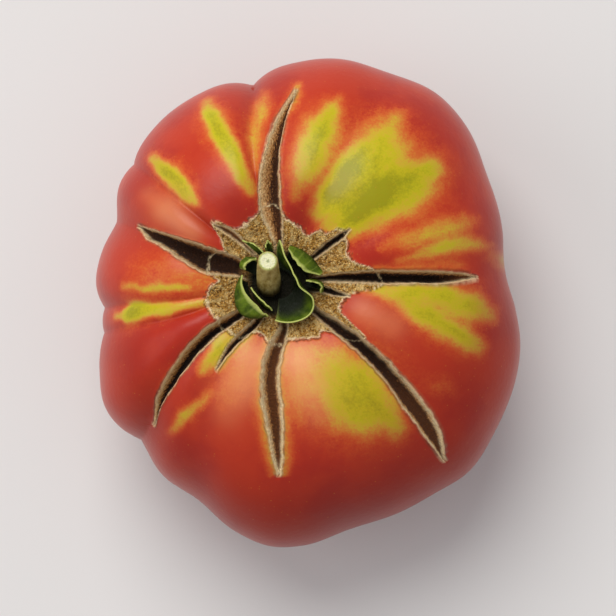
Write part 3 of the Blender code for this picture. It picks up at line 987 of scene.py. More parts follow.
# How unripe the skin is, from 0, red, by way of 0.35, orange, and 0.7, yellow, to 1.15, olive.
RIPENESS: tuple[Streak, ...] = (
    # The wide patch on the north-east lobe: an olive heart on each side of a paler ridge.
    Streak(((41, 17, 1.2, 0.8), (41.5, 22, 2.6, 1.15), (41, 29, 3.4, 1.15), (41, 35, 3.6, 0.95),
            (38, 43, 2.8, 0.75))),
    Streak(((60, 18, 1.6, 0.8), (60, 23, 2.6, 1.2), (59, 31, 2.6, 1.15), (58.5, 36, 1.8, 0.85))),
    Streak(((50, 17, 2.0, 0.8), (50, 24, 4.5, 0.95), (50.5, 32, 6.0, 0.95), (53, 39, 4.8, 0.95),
            (54.5, 46, 2.0, 0.7))),
    Streak(((40, 30, 4.0, 0.85), (37.5, 38, 4.5, 0.85), (37, 44, 2.2, 0.6)), 0.6),
    Streak(((33.5, 19, 1.2, 0.6), (32.5, 27, 2.2, 0.68), (31.5, 35, 2.6, 0.66), (30.8, 42, 1.8, 0.45))),
    # The narrower patch beside the north crack.
    Streak(((80, 21, 1.6, 0.5), (77, 26, 2.9, 0.85), (75.5, 31, 3.4, 1.05), (74.5, 36, 3.3, 1.05),
            (73.2, 41, 2.1, 0.85),
            (72.5, 44, 1.2, 0.5))),
    # Stripes over the east lobe.
    Streak(((20, 24, 1.0, 0.3), (19.3, 30, 1.8, 0.5), (18.6, 36, 2.2, 0.68), (18, 42, 2.0, 0.62),
            (17.8, 48, 1.2, 0.3))),
    Streak(((11, 27, 0.8, 0.35), (11.8, 33, 1.4, 0.6), (12.6, 39, 1.8, 0.88), (12.2, 45, 1.4, 0.7),
            (10, 50, 1.0, 0.35))),
    Streak(((7.5, 22, 0.9, 0.45), (6.5, 32, 1.3, 0.4), (5.8, 42, 1.3, 0.3))),
    Streak(((8, 49, 1.2, 0.3), (6, 53, 1.8, 0.65))),
    # Patches below the east crack.
    Streak(((357, 18, 1.0, 0.55), (357, 25, 2.0, 0.85), (356.6, 35, 2.6, 0.95), (353.5, 44, 3.0, 0.95),
            (352, 49, 2.0, 0.65))),
    Streak(((353, 24, 1.0, 0.5), (351.5, 29, 2.0, 0.9), (347, 37, 2.5, 1.0), (344, 43, 2.4, 0.95),
            (342, 48, 1.6, 0.7))),
    Streak(((327, 38, 1.5, 0.1), (327.5, 44, 2.0, 0.28), (328, 48, 1.6, 0.1))),
    # The patch between the south and the south-east cracks.
    Streak(((300, 17, 2.2, 0.55), (305, 22, 4.0, 0.8), (308.5, 28, 5.0, 0.98), (308, 35, 4.6, 1.0),
            (308.5, 42, 2.2, 0.8))),
    Streak(((290, 17, 2.4, 0.5), (293, 24, 3.6, 0.72), (298, 31, 4.4, 0.95), (301, 37, 3.0, 0.75))),
    Streak(((283, 16, 2.4, 0.4), (281, 24, 3.0, 0.55), (279, 30, 2.0, 0.4))),
    # Beside the small south-west crack, and the orange shoulder next to it.
    Streak(((222.5, 15.5, 1.2, 0.7), (227, 20, 1.8, 0.98), (229, 26, 1.2, 0.7))),
    Streak(((240, 15, 2.2, 0.55), (243, 21, 3.6, 0.42), (244, 27, 3.0, 0.3))),
    Streak(((238, 29, 0.9, 0.4), (234.5, 37, 1.3, 0.78), (233.5, 42, 0.9, 0.45))),
    # The west lobe and the pale strip below it.
    Streak(((176, 16, 3.0, 0.45), (175, 24, 4.0, 0.36), (174, 32, 3.0, 0.24)), 1.0),
    Streak(((182, 21, 0.8, 0.6), (181.5, 28, 1.0, 0.8), (181.5, 36, 0.8, 0.5))),
    Streak(((194.5, 16.5, 0.9, 0.68), (192, 25, 1.3, 0.75), (191, 31, 1.8, 0.95),
            (191.2, 35.5, 1.9, 1.08), (191.2, 39, 1.2, 0.7)), 0.6),
    # Streaks on the north-west lobes.
    Streak(((136, 26.5, 1.1, 0.7), (136, 30, 1.7, 1.0), (135.8, 36, 1.9, 1.08), (135.5, 41, 1.4, 0.7)), 0.7),
    Streak(((107.5, 22, 1.2, 0.6), (109, 26, 1.5, 0.85), (111, 34, 1.9, 1.02), (112.2, 41, 2.1, 0.98),
            (112.4, 44.5, 1.6, 0.6)), 0.7),
    Streak(((102, 27, 0.8, 0.4), (100.3, 35, 1.5, 0.66), (96.5, 42, 1.7, 0.66), (95.5, 45, 1.2, 0.4))),
    Streak(((85.8, 41, 1.2, 0.5), (85, 45.5, 1.0, 0.6))),
)

# Painted highlights: paler, pinker patches where the skin catches the light.
HIGHLIGHT_STREAKS: tuple[Streak, ...] = (
    Streak(((150, 23, 2.0, 0.35), (147, 31, 2.8, 0.45), (146, 36, 2.0, 0.2)), 1.0),
    Streak(((342, 20, 2.4, 0.3), (340, 27, 2.6, 0.25)), 1.0),
    Streak(((250, 18, 3.0, 0.55), (250, 24, 3.6, 0.5), (248, 31, 3.0, 0.2)), 1.0),
    Streak(((284, 18, 3.0, 0.6), (285, 24, 3.4, 0.5), (286, 30, 2.6, 0.25)), 1.0),
)

# Painted shade: a deeper, browner red on the hollow's slopes north of the stem and towards the fruit's edge,
# mostly low and on the right.
SHADE_STREAKS: tuple[Streak, ...] = (
    Streak(((72, 15, 3.0, 0.6), (76, 22, 3.0, 0.35)), 1.0),
    Streak(((120, 16, 3.5, 0.5), (118, 23, 3.5, 0.3)), 1.0),
    Streak(((330, 50, 9.0, 0.4), (315, 56, 11.0, 0.6), (290, 57, 9.0, 0.7), (262, 56, 8.0, 0.65),
            (240, 50, 7.0, 0.35)), 1.0),
    Streak(((350, 52, 6.0, 0.35), (10, 54, 5.0, 0.25)), 1.0),
    Streak(((225, 44, 5.0, 0.35), (205, 40, 5.0, 0.3)), 1.0),
)


@dataclass(frozen=True)
class FruitForm:
    """The shape of the fruit's skin, as the solid model has it, with its finer relief."""

    axis: tuple[float, float] = (-6.41, 4.34)
    base: tuple[float, float] = (-1.0, 0.5)
    equator_z: float = 32.5
    crown_height: float = 36.0
    base_height: float = 33.4
    crown_fullness: float = 2.25
    base_fullness: float = 2.3
    hollow_depth: float = 9.5
    hollow_radius: float = 17.0
    scar_radius: float = 2.6
    scar_depth: float = 0.9
    outline: Rows = (
        (0, 54.4), (14, 54.3), (28, 55.6), (40, 57.6), (50, 58.2), (62, 56.5), (76, 55.0), (87, 52.6),
        (98, 50.4), (110, 49.2), (124, 48.1), (134, 46.8), (143, 45.6), (150, 44.9), (160, 43.9),
        (170, 43.4), (179, 43.7), (188, 43.6), (197, 44.6), (205, 47.2), (214, 50.4), (222, 51.4),
        (230, 51.8), (240, 53.6), (250, 55.4), (260, 59.4), (268, 61.8), (275, 61.8), (285, 60.4),
        (296, 60.7), (306, 61.2), (315, 62.6), (326, 61.2), (338, 59.8), (348, 58.1), (355, 56.0),
    )
    furrows: tuple[Furrow, ...] = (
        Furrow(4, 6, 1.6, 0.8, 9, 0.0), Furrow(30, 28, 0.6, 0.5, 8, 0.0), Furrow(64, 66, 0.9, 0.3, 7, 0.0),
        Furrow(94, 88, 1.5, 0.3, 8, 0.0), Furrow(103, 98.5, 2.0, 3.0, 6, 0.6),
        Furrow(141, 141, 1.9, 1.2, 5.5, 0.7),
        Furrow(160, 159.5, 1.6, 2.6, 8, 0.2), Furrow(190, 187.5, 1.3, 1.7, 5, 0.6),
        Furrow(198, 195, 1.7, 1.0, 5, 0.7),
        Furrow(217, 228, 2.0, 2.4, 7, 0.4), Furrow(235, 247, 0.8, 0.7, 7, 0.0),
        Furrow(267, 268, 1.0, 0.0, 9, 0.0),
        Furrow(300, 288, 0.0, 0.4, 9, 0.0), Furrow(322, 316, 1.8, 0.0, 9, 0.0),
        Furrow(349, 352, 0.8, 0.5, 8, 0.0),
    )
    furrow_fade: Rows = ((0.2, 0.0), (0.45, 1.0), (0.7, 1.0))
    underside_fade: Rows = ((1.0, 1.0), (1.35, 0.8), (1.6, 0.3), (1.74, 0.0))
    # The outer edge of the cork round the stem: (angle, reach).
    cork_edge: Rows = (
        (5, 22.5), (10, 20.5), (14, 18), (22, 16.7), (34, 17.7), (40, 18.1), (43.6, 17.4), (46, 15.7),
        (52, 15.2),
        (58, 12.8), (70, 13.3), (83, 14.5), (90, 16), (98, 17.5), (106, 16.6), (114, 15.7), (123, 15.2),
        (128, 15.4), (131, 16.6), (136, 20), (139.4, 19.6), (142, 17), (146, 15.2), (149, 14.4), (156, 15.5),
        (165, 16), (173, 15.4), (177, 14), (183, 15.7), (192, 16.7), (203, 16.6), (209, 16.1), (215, 15.5),
        (224, 15.5), (232, 15), (240.6, 12.7), (247, 11.8), (256, 13), (279, 12.9), (292, 13.2), (304, 14.5),
        (315, 15.3), (325.5, 22), (328, 22.5), (331, 18), (334, 15.6), (340, 14.6), (346, 14.7), (352, 16.4),
        (356, 20), (359, 22.8),
    )

    def floor(self) -> Array:
        """The middle of the stem's hollow."""
        return np.array([*self.axis, self.equator_z + self.crown_height - self.hollow_depth])

    def from_scar(self, points: Array) -> Array:
        """The distance of points from the middle of the blossom scar, in plan."""
        return np.linalg.norm(points[:, :2] - np.array(self.base), axis=-1)

    def reach(self, angle: Array, dip: Array) -> Array:
        """The reach of the skin, where dip runs from 0 at the crown to pi at the blossom end."""
        return smooth_curve(self.outline, angle, closed=True) * np.sin(dip)

    def body(self, angle: Array, dip: Array) -> Array:
        """Finds points on the skin of the body before it has lobes.

        Args:
            angle: The angle of each point.
            dip: The dip of each point.

        Returns:
            The points, with x, y and z in the last axis.
        """
        share = np.clip(np.sin(dip), 0, 1)
        reach = self.reach(angle, dip)
        crown = dip < math.pi / 2
        fullness = np.where(crown, self.crown_fullness, self.base_fullness)
        rise = (1 - share**fullness) ** (1 / fullness)
        z = self.equator_z + np.where(crown, self.crown_height, -self.base_height) * rise
        z = z - np.where(crown, self.hollow_depth * bell(reach / self.hollow_radius), 0)
        drift = smooth_step(math.pi / 2, math.pi, dip)[..., None]
        middle = np.array(self.axis) * (1 - drift) + np.array(self.base) * drift
        return np.concatenate([middle + plan(angle, reach), z[..., None]], axis=-1)

    def normal(self, angle: Array, dip: Array) -> Array:
        """Finds which way the skin of the body faces before it has lobes.

        Args:
            angle: The angle of each point.
            dip: The dip of each point.

        Returns:
            An outward direction of length 1 at each point.
        """
        step = 1e-3
        dip = np.clip(dip, 2 * step, math.pi - 2 * step)
        down = self.body(angle, dip + step) - self.body(angle, dip - step)
        around = self.body(angle + step, dip) - self.body(angle - step, dip)
        out = np.cross(down, around)
        return out / np.linalg.norm(out, axis=-1, keepdims=True)

    def furrow_depth(self, angle: Array, share: Array) -> Array:
        """Works out how deep the furrows are.

        Args:
            angle: The angle of each point.
            share: 0 at the stem, 1 at the equator and 2 at the blossom end.

        Returns:
            The depth at each point.
        """
        total = np.zeros(np.broadcast(angle, share).shape)
        place = smooth_step(0.45, 1.0, share)
        for furrow in self.furrows:
            off = np.abs(angle_between(angle, furrow.angle(share))) / furrow.width
            across = (1 - furrow.crease) * bell(off) + furrow.crease * np.exp(-2.2 * off)
            along = furrow.shoulder_depth * straight_curve(self.furrow_fade, share) * (1 - place)
            along = along + furrow.equator_depth * place * straight_curve(self.underside_fade, share)
            total += across * along
        return total

    def skin_height(self, angle: Array | float, reach: Array | float) -> Array:
        """The skin's height over the hollow's floor."""
        outline = smooth_curve(self.outline, angle, closed=True)
        return self.body(np.asarray(angle, float), np.arcsin(reach / outline))[..., 2] - self.floor()[2]


FORM = FruitForm()


@dataclass(frozen=True)
class SkinMap:
    """Where each vertex of the fruit lies, and what grows there.

    Attributes:
        angle: Its angle.
        dip: Its dip, from 0 at the crown to pi at the blossom end.
        reach: Its distance from the stem's axis.
        share: 0 at the stem, 1 at the equator and 2 at the blossom end.
        body: Its point on the body before it has lobes.
        on_crown: 1 above the equator and 0 below it.
        past: How far outside the cork's ragged edge it is.
        cork: How much of it is cork, from 0 to 1.
        lace: The cork's ridges, which run out from the stem.
        lumps: The cork's lumps.
        crack: The cracks' relief and colour masks, by name.
    """

    angle: Array
    dip: Array
    reach: Array
    share: Array
    body: Array
    on_crown: Array
    past: Array
    cork: Array
    lace: Array
    lumps: Array
    crack: dict[str, Array]


@dataclass
class Fruit:
    """The whole fruit, one skin with lobes, furrows, cracks, cork, a flat spot and a blossom scar."""

    columns: int = 480
    rings: int = 200
    hidden_reach: float = 8.0
    dense_reach: float = 23.0
    hidden_rings: int = 13
    dense_rings: int = 60
    open_rings: int = 62
    nominal_reach: float = 52.0
    # Columns across a crack: shares of its half-width, evenly spaced in the even layout.
    lip_steps: tuple[float, ...] = (-1.2, -1.0, -0.86, -0.66, -0.4, -0.15, 0.15, 0.4, 0.66, 0.86, 1.0, 1.2)
    least_squeeze: float = 0.15  # how close together columns may be pushed, as a share of the even layout
    pole_dip: float = 1e-4  # how far from the poles the first and the last ring stand
    wall_curve: float = 0.8  # below 1, a crack's walls are steep at the lip and level off
    shade_curve: float = 1.5  # above 1, the pale upper wall reaches further down
    outline_strength: float = 0.75
    outline_place: float = 0.28  # how far outside a crack's edge its dark outline lies
    outline_width: float = 0.16
    cork_relief: float = 0.38
    cork_curl: float = 0.32
    lip_curl: float = 0.28
    undulation: float = 0.16
    ripe_limit: float = 1.25  # the least ripe that merged streaks may make the skin
    cork_halo: float = 0.35  # how unripe the skin is right beside the cork
    # The nearly black floor inside the calyx, painted shade over scar tissue that is dark there too: its
    # middle, from the stem's axis, and where its edge starts and ends.
    cup_middle: tuple[float, float] = (0.2, -0.4)
    cup_edge: tuple[float, float] = (6.4, 8.8)

    def dips(self) -> Array:
        """Spaces the rings, closely near the stem and more widely below.

        Returns:
            The dip of each ring, from the crown to the blossom end.
        """
        near = np.linspace(0, self.hidden_reach, self.hidden_rings + 1)[1:]
        dense = np.linspace(self.hidden_reach, self.dense_reach, self.dense_rings + 1)[1:]
        start = math.asin(self.dense_reach / self.nominal_reach)
        crown = np.arcsin(np.concatenate([near, dense]) / self.nominal_reach)
        side = np.linspace(start, math.pi / 2, self.open_rings + 1)[1:]
        under = np.linspace(math.pi / 2, math.pi, self.rings - len(crown) - len(side) + 2)[1:-1]
        return np.concatenate([crown, side, under])

    def angles(self, dip: float) -> Array:
        """Moves one ring's columns so that they run along the cracks and creases.

        Args:
            dip: The ring's dip.

        Returns:
            The angle of each column.
        """
        knots: list[tuple[float, float]] = []
        share = math.sin(dip) if dip < math.pi / 2 else 2 - math.sin(dip)
        for crack in CRACKS.values():
            reach = float(FORM.reach(np.array(crack.home), np.array(dip)))
            away = float(smooth_step(0, 6, max(crack.path[0][0] - reach, reach - crack.path[-1][0])))
            away = 1.0 if dip > math.pi / 2 else away
            centre = float(crack.read(reach)[0])
            half = {side: float(crack.edge(reach, side)) for side in Side}
            for k, step in enumerate(self.lip_steps):
                home = crack.home + crack.spread * (2 * k / (len(self.lip_steps) - 1) - 1)
                side = Side.COUNTER if step > 0 else Side.CLOCKWISE
                place = centre + math.degrees(step * half[side] / max(reach, 3.0))
                knots.append((home, place * (1 - away) + home * away))
        for furrow in FORM.furrows:
            if furrow.crease > 0.5:
                knots.append((furrow.shoulder, float(furrow.angle(share))))
        knots.sort()
        fixed = [knots[0]]
        for home, place in knots[1:]:
            least = fixed[-1][1] + self.least_squeeze * (home - fixed[-1][0])
            fixed.append((home, max(place, least)))
        ring = [(a - 360, b - 360) for a, b in fixed] + fixed + [(a + 360, b + 360) for a, b in fixed]
        return straight_curve(ring, np.arange(self.columns) * 360 / self.columns)

    def cracks(self, angle: Array, reach: Array) -> dict[str, Array]:
        """Works out the cracks' relief and colour masks.

        Args:
            angle: The angle of each point of the crown.
            reach: The reach of each point of the crown.

        Returns:
            Arrays by name: sink, inside, depth, the slit's painted shade, lip, outline and halo.
        """
        empty = np.zeros(angle.shape)
        out = {name: empty.copy() for name in ("sink", "inside", "depth", "slit_shade", "lip", "outline", "halo")}
        for crack in CRACKS.values():
            centre, _, deep, slit_shade = crack.read(reach)
            there = crack.span(reach)
            across = np.radians(angle_between(angle, centre)) * reach
            counter = across > 0
            edge = np.where(counter, crack.edge(reach, Side.COUNTER), crack.edge(reach, Side.CLOCKWISE))
            share = across / edge
            low, high = crack.slit - crack.floor, crack.slit + crack.floor
            rise = np.where(share < crack.slit, (share + 1) / (low + 1), (1 - share) / (1 - high))
            rise = np.clip(rise, 0, 1)
            beyond = np.abs(across) - edge
            width = np.where(counter, crack.lips[1], crack.lips[0])
            out["sink"] = np.maximum(out["sink"], deep * rise**self.wall_curve * there)
            inside = smooth_step(0.06, -0.06, beyond) * there
            out["depth"] = np.where(inside > out["inside"], rise**self.shade_curve, out["depth"])
            out["slit_shade"] = np.where(inside > out["inside"], slit_shade, out["slit_shade"])
            out["inside"] = np.maximum(out["inside"], inside)
            lip = bell((beyond + 0.35 * width) / (0.75 * width)) * smooth_step(0.05, 0.5, there)
            out["lip"] = np.maximum(out["lip"], lip)
            outline = self.outline_strength * bell((beyond - self.outline_place) / self.outline_width)
            out["outline"] = np.maximum(out["outline"], outline * there)
            past = np.maximum(reach - crack.path[-1][0], 0)
            away = np.hypot(np.maximum(beyond, 0), past)
            halo = crack.halo[0] * bell(away / crack.halo[1]) * (there > 0.02)
            out["halo"] = np.maximum(out["halo"], halo)
        return out

    def start(self) -> tuple[bpy.types.Object, Array, Array]:
        """Adds the sphere that becomes the fruit.

        Returns:
            The sphere, then the ring and the column of each vertex.
        """
        bpy.ops.object.select_all(action="DESELECT")
        bpy.ops.mesh.primitive_uv_sphere_add(segments=self.columns, ring_count=self.rings + 1, radius=1.0)
        fruit = bpy.context.object
        fruit.name = "tomato_fruit"
        place = vertex_places(fruit)
        latitude = np.arctan2(np.hypot(place[:, 0], place[:, 1]), place[:, 2])
        ring = np.rint(latitude / math.pi * (self.rings + 1)).astype(int)
        column = np.rint(np.arctan2(place[:, 1], place[:, 0]) / (2 * math.pi) * self.columns).astype(int)
        return fruit, ring, column % self.columns

    def survey(self, ring: Array, column: Array) -> SkinMap:
        """Works out where each vertex lies and what grows there.

        Args:
            ring: The ring of each vertex.
            column: The column of each vertex.

        Returns:
            The map of the skin.
        """
        dips = np.concatenate([[self.pole_dip], self.dips(), [math.pi - self.pole_dip]])
        angle = np.stack([self.angles(float(dip)) for dip in dips])[ring, column]
        dip = dips[ring]
        reach = FORM.reach(angle, dip)
        crown = dip < math.pi / 2
        on_crown = crown * 1.0
        share = np.where(crown, np.sin(dip), 2 - np.sin(dip))
        body = FORM.body(angle, dip)
        crack = {name: values * on_crown for name, values in self.cracks(angle, reach).items()}
        ragged = 0.55 * layered_noise(body * 0.9, 5, 3) + 0.35 * value_noise(body * 2.6, 9)
        past = reach - smooth_curve(FORM.cork_edge, angle, closed=True) - ragged
        cork = (1 - smooth_step(-0.12, 0.12, past)) * on_crown
        lace = layered_noise(np.concatenate([plan(angle, 9.0), reach[:, None] * 0.55], axis=-1), 3, 3)
        lumps = layered_noise(body * 1.1, 15, 2)
        return SkinMap(angle, dip, reach, share, body, on_crown, past, cork, lace, lumps, crack)

    def shape(self, at: SkinMap) -> Array:
        """Gives the body its lobes, cracks, cork, flat spot and scar.

        Args:
            at: The map of the skin.

        Returns:
            The point of each vertex.
        """
        relief = self.cork_relief * (0.6 - np.abs(at.lace) * 1.4 + 0.5 * at.lumps) * at.cork
        curl = self.cork_curl * bell((at.past - 0.15) / 0.4) * at.on_crown
        swell = self.undulation * layered_noise(at.body / 11.0, 21, 2)
        lift = relief + curl + swell - FORM.furrow_depth(at.angle, at.share) - at.crack["sink"]
        outline = at.crack["outline"]
        lift = lift + self.lip_curl * bell((outline - 1) / 0.7) * outline
        points = at.body + FORM.normal(at.angle, at.dip) * lift[:, None]
        dimple = FORM.scar_depth * np.clip(1 - (FORM.from_scar(points) / FORM.scar_radius) ** 2, 0, 1)
        points[:, 2] = np.where(at.on_crown > 0, points[:, 2], np.maximum(points[:, 2], dimple))
        return points

    def paint_skin(self, fruit: bpy.types.Object, at: SkinMap) -> None:
        """Paints how ripe the skin is, and the painted highlights and painted shade on it.

        Args:
            fruit: The fruit.
            at: The map of its skin.
        """
        where = plan(at.angle, at.reach)
        warp = 0.9 * np.stack([layered_noise(at.body * 0.25, seed, 2) for seed in (31, 47)], axis=-1)
        ripe = sum(streak.field(where + warp) ** UNION for streak in RIPENESS) + at.crack["halo"] ** UNION
        ripe = np.minimum(ripe ** (1 / UNION), self.ripe_limit)
        ripe = np.maximum(ripe, self.cork_halo * bell(np.maximum(at.past, 0) / 0.9)) * at.on_crown
        blotches = 0.12 * np.maximum(layered_noise(at.body / 9.0, 77, 2), 0) * (1 - at.on_crown)
        paint(fruit, "ripe", ripe + blotches)
        # painted highlights
        paint(fruit, "painted_highlight", sum(streak.field(where) for streak in HIGHLIGHT_STREAKS) * at.on_crown)
        # painted shade, kept in "deep": streaks of deeper red, and darkening in the furrows where the skin is
        # red
        deep = sum(streak.field(where) for streak in SHADE_STREAKS) * at.on_crown
        fold_shade = 0.10 * FORM.furrow_depth(at.angle, at.share)
        paint(fruit, "deep", np.clip(deep + fold_shade * (ripe < 0.3), 0, 0.8))

    def paint_dry(self, fruit: bpy.types.Object, at: SkinMap, points: Array) -> None:
        """Paints the cork, the cracks with the painted shade in their slits, their edges and the painted
        shade on the floor inside the calyx.

        Args:
            fruit: The fruit.
            at: The map of its skin.
            points: The point of each vertex.
        """
        from_scar = FORM.from_scar(points) + 0.3 * at.lumps
        scar = 1 - smooth_step(FORM.scar_radius * 0.8, FORM.scar_radius * 1.25, from_scar)
        paint(fruit, "cork", np.maximum(at.cork, scar * (1 - at.on_crown)))
        for name in ("inside", "depth", "slit_shade"):
            paint(fruit, name, at.crack[name])
        # painted shade inside the calyx, fading out towards the calyx's rim
        from_cup = np.linalg.norm(plan(at.angle, at.reach) - np.array(self.cup_middle), axis=-1)
        paint(fruit, "calyx_shade", (1 - smooth_step(*self.cup_edge, from_cup + 0.5 * at.lace)) * at.on_crown)
        cork_lip = 0.95 * bell((at.past + 0.02) / 0.2) * at.on_crown
        paint(fruit, "lip", np.clip(np.maximum(at.crack["lip"] * 0.85, cork_lip), 0, 1))
        cork_outline = 0.85 * bell((at.past - 0.45) / 0.2) * at.on_crown
        dark_edge = np.maximum(at.crack["outline"], cork_outline)
        paint(fruit, "outline", dark_edge * (1 - 0.8 * np.clip(at.cork, 0, 1)))
        paint(fruit, "grain", np.concatenate([plan(at.angle, 1.0), at.reach[:, None]], axis=-1))

    def make(self, material: bpy.types.Material) -> bpy.types.Object:
        """Builds the fruit from a sphere whose rings and columns are put in their places.

        Args:
            material: The skin's material.

        Returns:
            The finished piece.
        """
        fruit, ring, column = self.start()
        at = self.survey(ring, column)
        points = self.shape(at)
        reshape(fruit, points)
        self.paint_skin(fruit, at)
        self.paint_dry(fruit, at, points)
        finish_piece(fruit, "fruit", material)
        return fruit


# The stem and the calyx.


@dataclass
class Stem:
    """The receptacle and the leaning stub of stem, cut off level at the top."""

    sides: int = 64
    foot: tuple[float, float] = (-2.4, -0.4)
    lean_x: float = -0.03
    # Rings: (height over the hollow's floor, lean towards +Y, radius).
    rings: Rows = (
        (1.0, 0.0, 2.1), (1.4, 0.0, 2.5), (2.0, 0.0, 2.75), (2.8, 0.15, 2.75), (4.2, 0.6, 2.72),
        (6.4, 1.7, 2.68), (9.2, 3.4, 2.5), (11.6, 4.85, 2.3), (12.3, 5.25, 2.22), (12.6, 5.35, 1.95),
    )
    steps: int = 46
    cut_rings: int = 8
    ridge: float = 0.07
    extrude_mm: float = 0.1  # how far apart the rings start, before they get their heights

    def centre(self, height: float) -> Array:
        """The middle of the stem at a height over the hollow's floor."""
        lean = float(smooth_curve([(r[0], r[1]) for r in self.rings], height))
        return FORM.floor() + np.array([self.foot[0] + lean * self.lean_x, self.foot[1] + lean, height])

    def make(self, material: bpy.types.Material) -> bpy.types.Object:
        """Builds the stem from one disc, extruded ring by ring and closed over the cut face.

        Args:
            material: The stem's material.

        Returns:
            The finished piece.
        """
        low, high = self.rings[0][0], self.rings[-1][0]
        bpy.ops.object.select_all(action="DESELECT")
        bpy.ops.mesh.primitive_circle_add(
            vertices=self.sides, radius=self.rings[0][2] * MM, fill_type="TRIFAN",
            location=Vector(self.centre(low) * MM))
        stem = bpy.context.object
        stem.name = "tomato_stem_stub"
        bpy.ops.object.mode_set(mode="EDIT")
        for _ in range(self.steps + self.cut_rings):
            bpy.ops.mesh.extrude_region_move(TRANSFORM_OT_translate={"value": (0, 0, self.extrude_mm * MM)})
        bpy.ops.object.mode_set(mode="OBJECT")
        bpy.ops.object.transform_apply(location=True, rotation=False, scale=False)
        self.shape(stem, low, high)
        finish_piece(stem, "stem", material)
        return stem

    def shape(self, stem: bpy.types.Object, low: float, high: float) -> None:
        """Puts each extruded ring at its own place and paints what the finish reads.

        Args:
            stem: The extruded disc.
            low: The lowest ring's height over the hollow's floor.
            high: The highest ring's.
        """
        co = vertex_places(stem) / MM
        count = len(co)
        level = np.rint((co[:, 2] - co[:, 2].min()) / self.extrude_mm).astype(int)
        start = self.centre(low)
        turn = np.arctan2(co[:, 1] - start[1], co[:, 0] - start[0])
        middle = np.hypot(co[:, 0] - start[0], co[:, 1] - start[1]) < 0.5
        points = np.zeros((count, 3))
        across = np.zeros(count)
        heights = low + (high - low) * (np.arange(self.steps + 1) / self.steps)
        for k in range(self.steps + self.cut_rings + 1):
            on = level == k
            wall = min(k, self.steps)
            inward = max(k - self.steps, 0) / (self.cut_rings + 1)
            height = float(heights[wall])
            radius = float(smooth_curve([(r[0], r[2]) for r in self.rings], height)) * (1 - inward)
            bark = np.sin(9 * turn[on] + 0.4 * height) + 0.6 * np.sin(23 * turn[on] - 0.3 * height)
            bark = self.ridge * bark
            bark = bark * float(smooth_step(high, high - 1.5, height))
            size = np.where(middle[on], 0.0, radius + bark)
            around = np.stack([np.cos(turn[on]), np.sin(turn[on])], axis=-1)
            points[on, :2] = self.centre(height)[:2] + size[:, None] * around
            dip = 0.25 * inward * (1 - inward)
            rough = 0.04 * value_noise(points[on] * 2.0, 61) * (inward > 0)
            points[on, 2] = self.centre(height)[2] - dip + rough
            across[on] = np.where(middle[on], 0.0, 1 - inward)
        reshape(stem, points)
        on_cut = (level >= self.steps).astype(float)
        paint(stem, "cut", on_cut)
        paint(stem, "across", across)
        height = points[:, 2] - FORM.floor()[2]
        # painted shade on the foot, low in the calyx
        paint(stem, "foot", 1 - smooth_step(3.0, 8.5, height))


